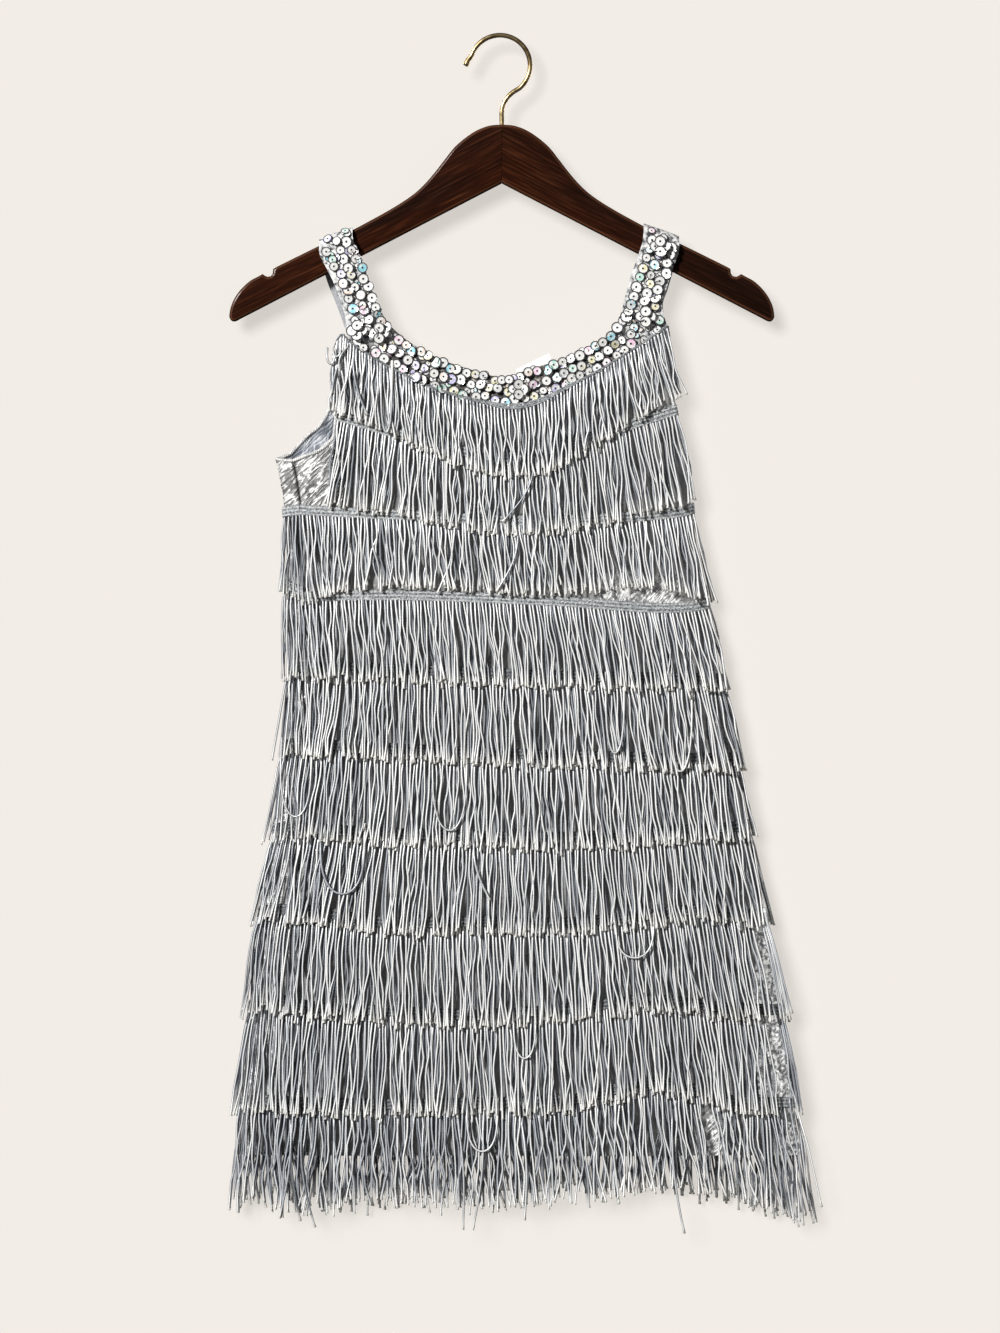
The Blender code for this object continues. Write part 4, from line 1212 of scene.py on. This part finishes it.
def dark_wood():
    """Dark red-brown stained wood under satin lacquer. Pores, figure and pale streaks are noise drawn out
    along the arm. The rounded front edge is paler, as wear and as a painted highlight, and its lacquer is
    glossier there."""
    wood = Finish("dark_stained_wood", Coat_Roughness=0.2, Specular_IOR_Level=0.03)
    grain = wood.node("UVMap", {}, {})
    pores = wood.noise(1.0, 3.0, wood.mapped(grain, (30, 620, 1)), 0.6)
    figure = wood.noise(1.0, 3.0, wood.mapped(grain, (5, 45, 1)), 0.55)
    streaks = wood.noise(1.0, 1.0, wood.mapped(grain, (14, 480, 1)))
    tone = (pores * 0.75 + figure * 0.3 - 0.02).clamp()
    light, dark = (wood.ramp(tone, *zip((0.34, 0.52, 0.70), colours)) for colours in WOOD_TONES)
    colour = wood.mix(wood.ramp(streaks, (0.64, 0), (0.74, 1)) * 0.55, light, (0.13, 0.042, 0.018))
    colour = wood.mix(wood.value("stain"), colour, dark)
    # Wear and painted highlight: the rounded front edge is paler and glossier
    worn = wood.value("worn")
    colour = wood.mix(worn * (0.4 + pores * 0.8), colour, (0.12, 0.045, 0.02))
    wood.set(Base_Color=colour, Roughness=0.4 + 0.2 * pores, Coat_Weight=0.02 + worn * 0.45)
    wood.relief(pores, 0.15 * MM, 0.35)
    return wood.material


WOOD = dark_wood()
bell, end = rows_through(BELL_AND_ARM, ARM_POINTS), rows_through(ARM_END, END_POINTS)
outline = np.concatenate([bell, STRAP_NOTCH, end, UNDERSIDE_APEX])
quarter = np.radians(np.linspace(90, 0, ROUND_RINGS))
steps = WOOD_ROUND * (1 - np.cos(quarter))
depths = WOOD_THICK / 2 - WOOD_ROUND * (1 - np.sin(quarter))
for side, name in ((-1, "left"), (1, "right")):
    rings = []
    for step, depth in [*zip(steps, -depths), *zip(steps[::-1], depths[::-1])]:
        ring = inset(outline, step)
        x = STEM_X + side * (ring[:, 0] + JOINT_GAP / 2)
        rings.append(np.stack([x, np.full(len(ring), depth), ring[:, 1]], -1))
    points, faces, _ = skin(np.stack(rings)[None], flip=side > 0)
    corners = points[np.concatenate([array.ravel() for array in faces])]
    reach, height = np.abs(corners[:, 0] - STEM_X), corners[:, 2]
    along = reach * math.cos(GRAIN_SLOPE) + height * math.sin(GRAIN_SLOPE)
    across = height * math.cos(GRAIN_SLOPE) - reach * math.sin(GRAIN_SLOPE) + corners[:, 1] * GRAIN_DEPTH
    # Wear and painted highlight: how near each ring is to the front edge's palest ring
    worn = np.repeat(np.exp(-(((np.arange(len(rings)) - WORN_HIGHLIT_RING) / WORN_HIGHLIT_SPREAD) ** 2)), len(outline))
    stain = np.interp(np.abs(points[:, 0] - STEM_X), STAIN[:, 0], STAIN[:, 1 if side < 0 else 2])
    stain = np.maximum(stain, np.interp(points[:, 2], *CROWN_STAIN.T))
    marks = {"worn": worn, "stain": stain}
    arm = build(f"wooden_arm_{name}", points, *faces, values=marks, uv=np.stack([along + side, across], -1))
    arm.data.set_sharp_from_angle(angle=SHARP_WOOD)
    dress(arm, WOOD, "wood", f"hanger_{name}")


def joint_glue():
    """Dark glue and stain in the joint."""
    glue = Finish("joint_glue", Roughness=0.7)
    patches = glue.noise(300, 2.0)
    glue.set(Base_Color=glue.ramp(patches, (0.4, (0.004, 0.002, 0.001)), (0.6, (0.010, 0.004, 0.002))))
    return glue.material


top, low = BELL_AND_ARM[0, 1] - GLUE_BACK, UNDERSIDE_APEX[0, 1] + GLUE_BACK
deep = WOOD_THICK / 2 - GLUE_BACK
half = JOINT_GAP / 2 + GLUE_LAP
corners = ((-deep, top), (deep, top), (deep, low), (-deep, low))
rings = np.array([[(STEM_X + x, y, z) for y, z in corners] for x in (-half, half)])
points, faces, _ = skin(rings[None], flip=True)
glue = build("joint_glue_line", points, *faces)
glue.data.polygons.foreach_set("use_smooth", np.zeros(len(glue.data.polygons), bool))
dress(glue, joint_glue(), "wood")


# ---------------------------------------------------------------- hook
# One length of brass wire, bent round to hang on a rail and back over its stem, with a flattened round tip.
# Its straight shank goes down into the joint of the two arms. The brass has darkened with age.

HOOK_INSIDE = 22.7 * MM
WIRE = 3.9 * MM
SHANK_DEPTH = 15 * MM
# The bend's angles in degrees: first, past the last, step. Then stations along the wire, and corners round it
BEND, WIRE_STATIONS, WIRE_CORNERS = (160, -51, -5), 260, 16
# The wire's middle line before and after its round bend: x, z, and its thickness as a share of the wire's
TIP = (MM, MM, 1) * np.array([
    (-28.3, -23.3, 0.6), (-28.1, -22.9, 1.0), (-27.7, -21.7, 1.25), (-27.2, -20.5, 1.28), (-26.5, -19, 1.12)])
STEM = (MM, MM, 1) * np.array([(10.8, -44.7, 1), (6.1, -49.1, 1), (2.9, -54.5, 1), (1.5, -60.5, 1)])


def old_brass():
    """Aged brass: warm metal, browner and duller in cloudy patches, with a fine uneven surface."""
    brass = Finish("antique_brass", Metallic=1.0)
    tarnish = brass.noise(120, 4.0, roughness=0.6)
    colour = brass.ramp(tarnish, (0.38, (0.22, 0.15, 0.07)), (0.60, (0.74, 0.56, 0.29)))
    brass.set(Base_Color=colour, Roughness=0.45 - 0.22 * tarnish)
    brass.relief(brass.noise(900, 2.0), 0.1 * MM, 0.4)
    return brass.material


radius = HOOK_INSIDE + WIRE / 2
turn = np.radians(np.arange(*BEND))
arc = np.stack([radius * np.cos(turn), -HOOK_INSIDE + radius * np.sin(turn), np.ones(len(turn))], -1)
shank = [(STEM_X, BELL_AND_ARM[0, 1] + end, 1) for end in (2 * MM, -SHANK_DEPTH)]
route = rows_through(np.concatenate([TIP, arc, STEM, shank]), WIRE_STATIONS)
path = np.stack([route[:, 0], np.zeros(len(route)), route[:, 1]], -1)
points, faces, uv = tubes(path[None], route[:, 2] * WIRE / 2, WIRE_CORNERS)
hook = build("brass_hook", points, *faces, uv=uv)
dress(hook, old_brass(), "brass", "hanger_hook")


# ---------------------------------------------------------------- studio
# A plain cream wall stands just behind the dress, with a pale floor below it. The key light is high on the
# left, and soft light comes from all round.

WALL_Y, FLOOR_Z = 0.038, -1.35
WALL_REACH, FLOOR_REACH, SQUARE = 3, 9, ((-1, -1), (1, -1), (1, 1), (-1, 1))


def plain_sheet(name, finish, corners, colour, lit, own):
    """A flat sheet of matt paint, part of whose brightness is its own so that shadows on it stay soft. Only
    its front shows, and only to the camera."""
    paint = Finish(finish, Base_Color=np.multiply(colour, lit), Roughness=0.9)
    paint.set(Emission_Color=colour, Emission_Strength=own)
    clear = paint.node("BsdfTransparent", {}, {})
    behind = paint.node("NewGeometry", {}, {}, "Backfacing")
    shown = paint.node("MixShader", {}, {0: behind, 1: Shade(paint.tree, paint.shader.outputs[0]), 2: clear})
    feed(paint.tree, paint.tree.nodes["Material Output"].inputs["Surface"], shown)
    sheet = build(name, np.array(corners, float), np.arange(4)[None])
    sheet.data.materials.append(paint.material)
    sheet.visible_diffuse = sheet.visible_glossy = sheet.visible_transmission = sheet.visible_shadow = False
    return sheet


wall_corners = [(x * WALL_REACH, WALL_Y, z * WALL_REACH) for x, z in SQUARE]
floor_corners = [(x * FLOOR_REACH, y * FLOOR_REACH, FLOOR_Z) for x, y in SQUARE]
wall = plain_sheet("studio_wall", "cream_wall", wall_corners, (0.89, 0.845, 0.79), 0.30, 0.70)
plain_sheet("studio_floor", "pale_floor", floor_corners, (0.90, 0.87, 0.83), 0.45, 0.45)

# The camera looks straight at the dress with a long lens: how high its view is there, and the view's middle
LENS, SENSOR = 200, 36
VIEW_HEIGHT, VIEW_MIDDLE, VIEW_PLANE = 1.0904, -0.5153, -0.01
camera = bpy.data.objects.new("camera", bpy.data.cameras.new("camera"))
camera.data.lens, camera.data.sensor_width = LENS, SENSOR
camera.location = (0, VIEW_PLANE - VIEW_HEIGHT * LENS / SENSOR, VIEW_MIDDLE)
camera.rotation_euler = (math.pi / 2, 0, 0)
bpy.context.scene.collection.objects.link(camera)
bpy.context.scene.camera = camera
bpy.context.scene.view_settings.view_transform = "Standard"


def lamp(name, kind, energy, direction, place=(0, 0, 0)):
    """A light that shines in a direction."""
    item = bpy.data.objects.new(name, bpy.data.lights.new(name, kind))
    item.data.energy, item.location = energy, place
    item.rotation_euler = Vector(direction).to_track_quat("-Z", "Y").to_euler()
    bpy.context.scene.collection.objects.link(item)
    return item


# The dress and the wall have a sun each, so that the shadow on the wall stays close and soft
for name, energy, angle, direction, state in (
    ("key", 4.65, 9, (0.60, 0.68, -0.40), "EXCLUDE"), ("wall_key", 2.8, 16, (0.22, 0.9, -0.16), "INCLUDE"),
):
    sun = lamp(name, "SUN", energy, direction)
    sun.data.angle = math.radians(angle)
    lit = bpy.data.collections.new(f"lit_by_{name}")
    lit.objects.link(wall)
    lit.collection_objects[0].light_linking.link_state = state
    sun.light_linking.receiver_collection = lit

# Square panels of light, a fill in front and two behind, turned to face the middle of the dress
AIM = Vector((0, 0, -0.5))
for name, place, size, watts in (
    ("fill", (1.6, -2.4, 0.3), 2.0, 4.5), ("back_left", (-1.8, 2.2, 0.9), 1.2, 30),
    ("back_right", (1.8, 2.2, -0.4), 1.6, 24),
):
    lamp(name, "AREA", watts, AIM - Vector(place), place).data.size = size

world = bpy.data.worlds.new("studio")
world.use_nodes = True
sky = world.node_tree.nodes["Background"].inputs
sky["Color"].default_value, sky["Strength"].default_value = (1.0, 0.99, 0.97, 1), 0.07
bpy.context.scene.world = world
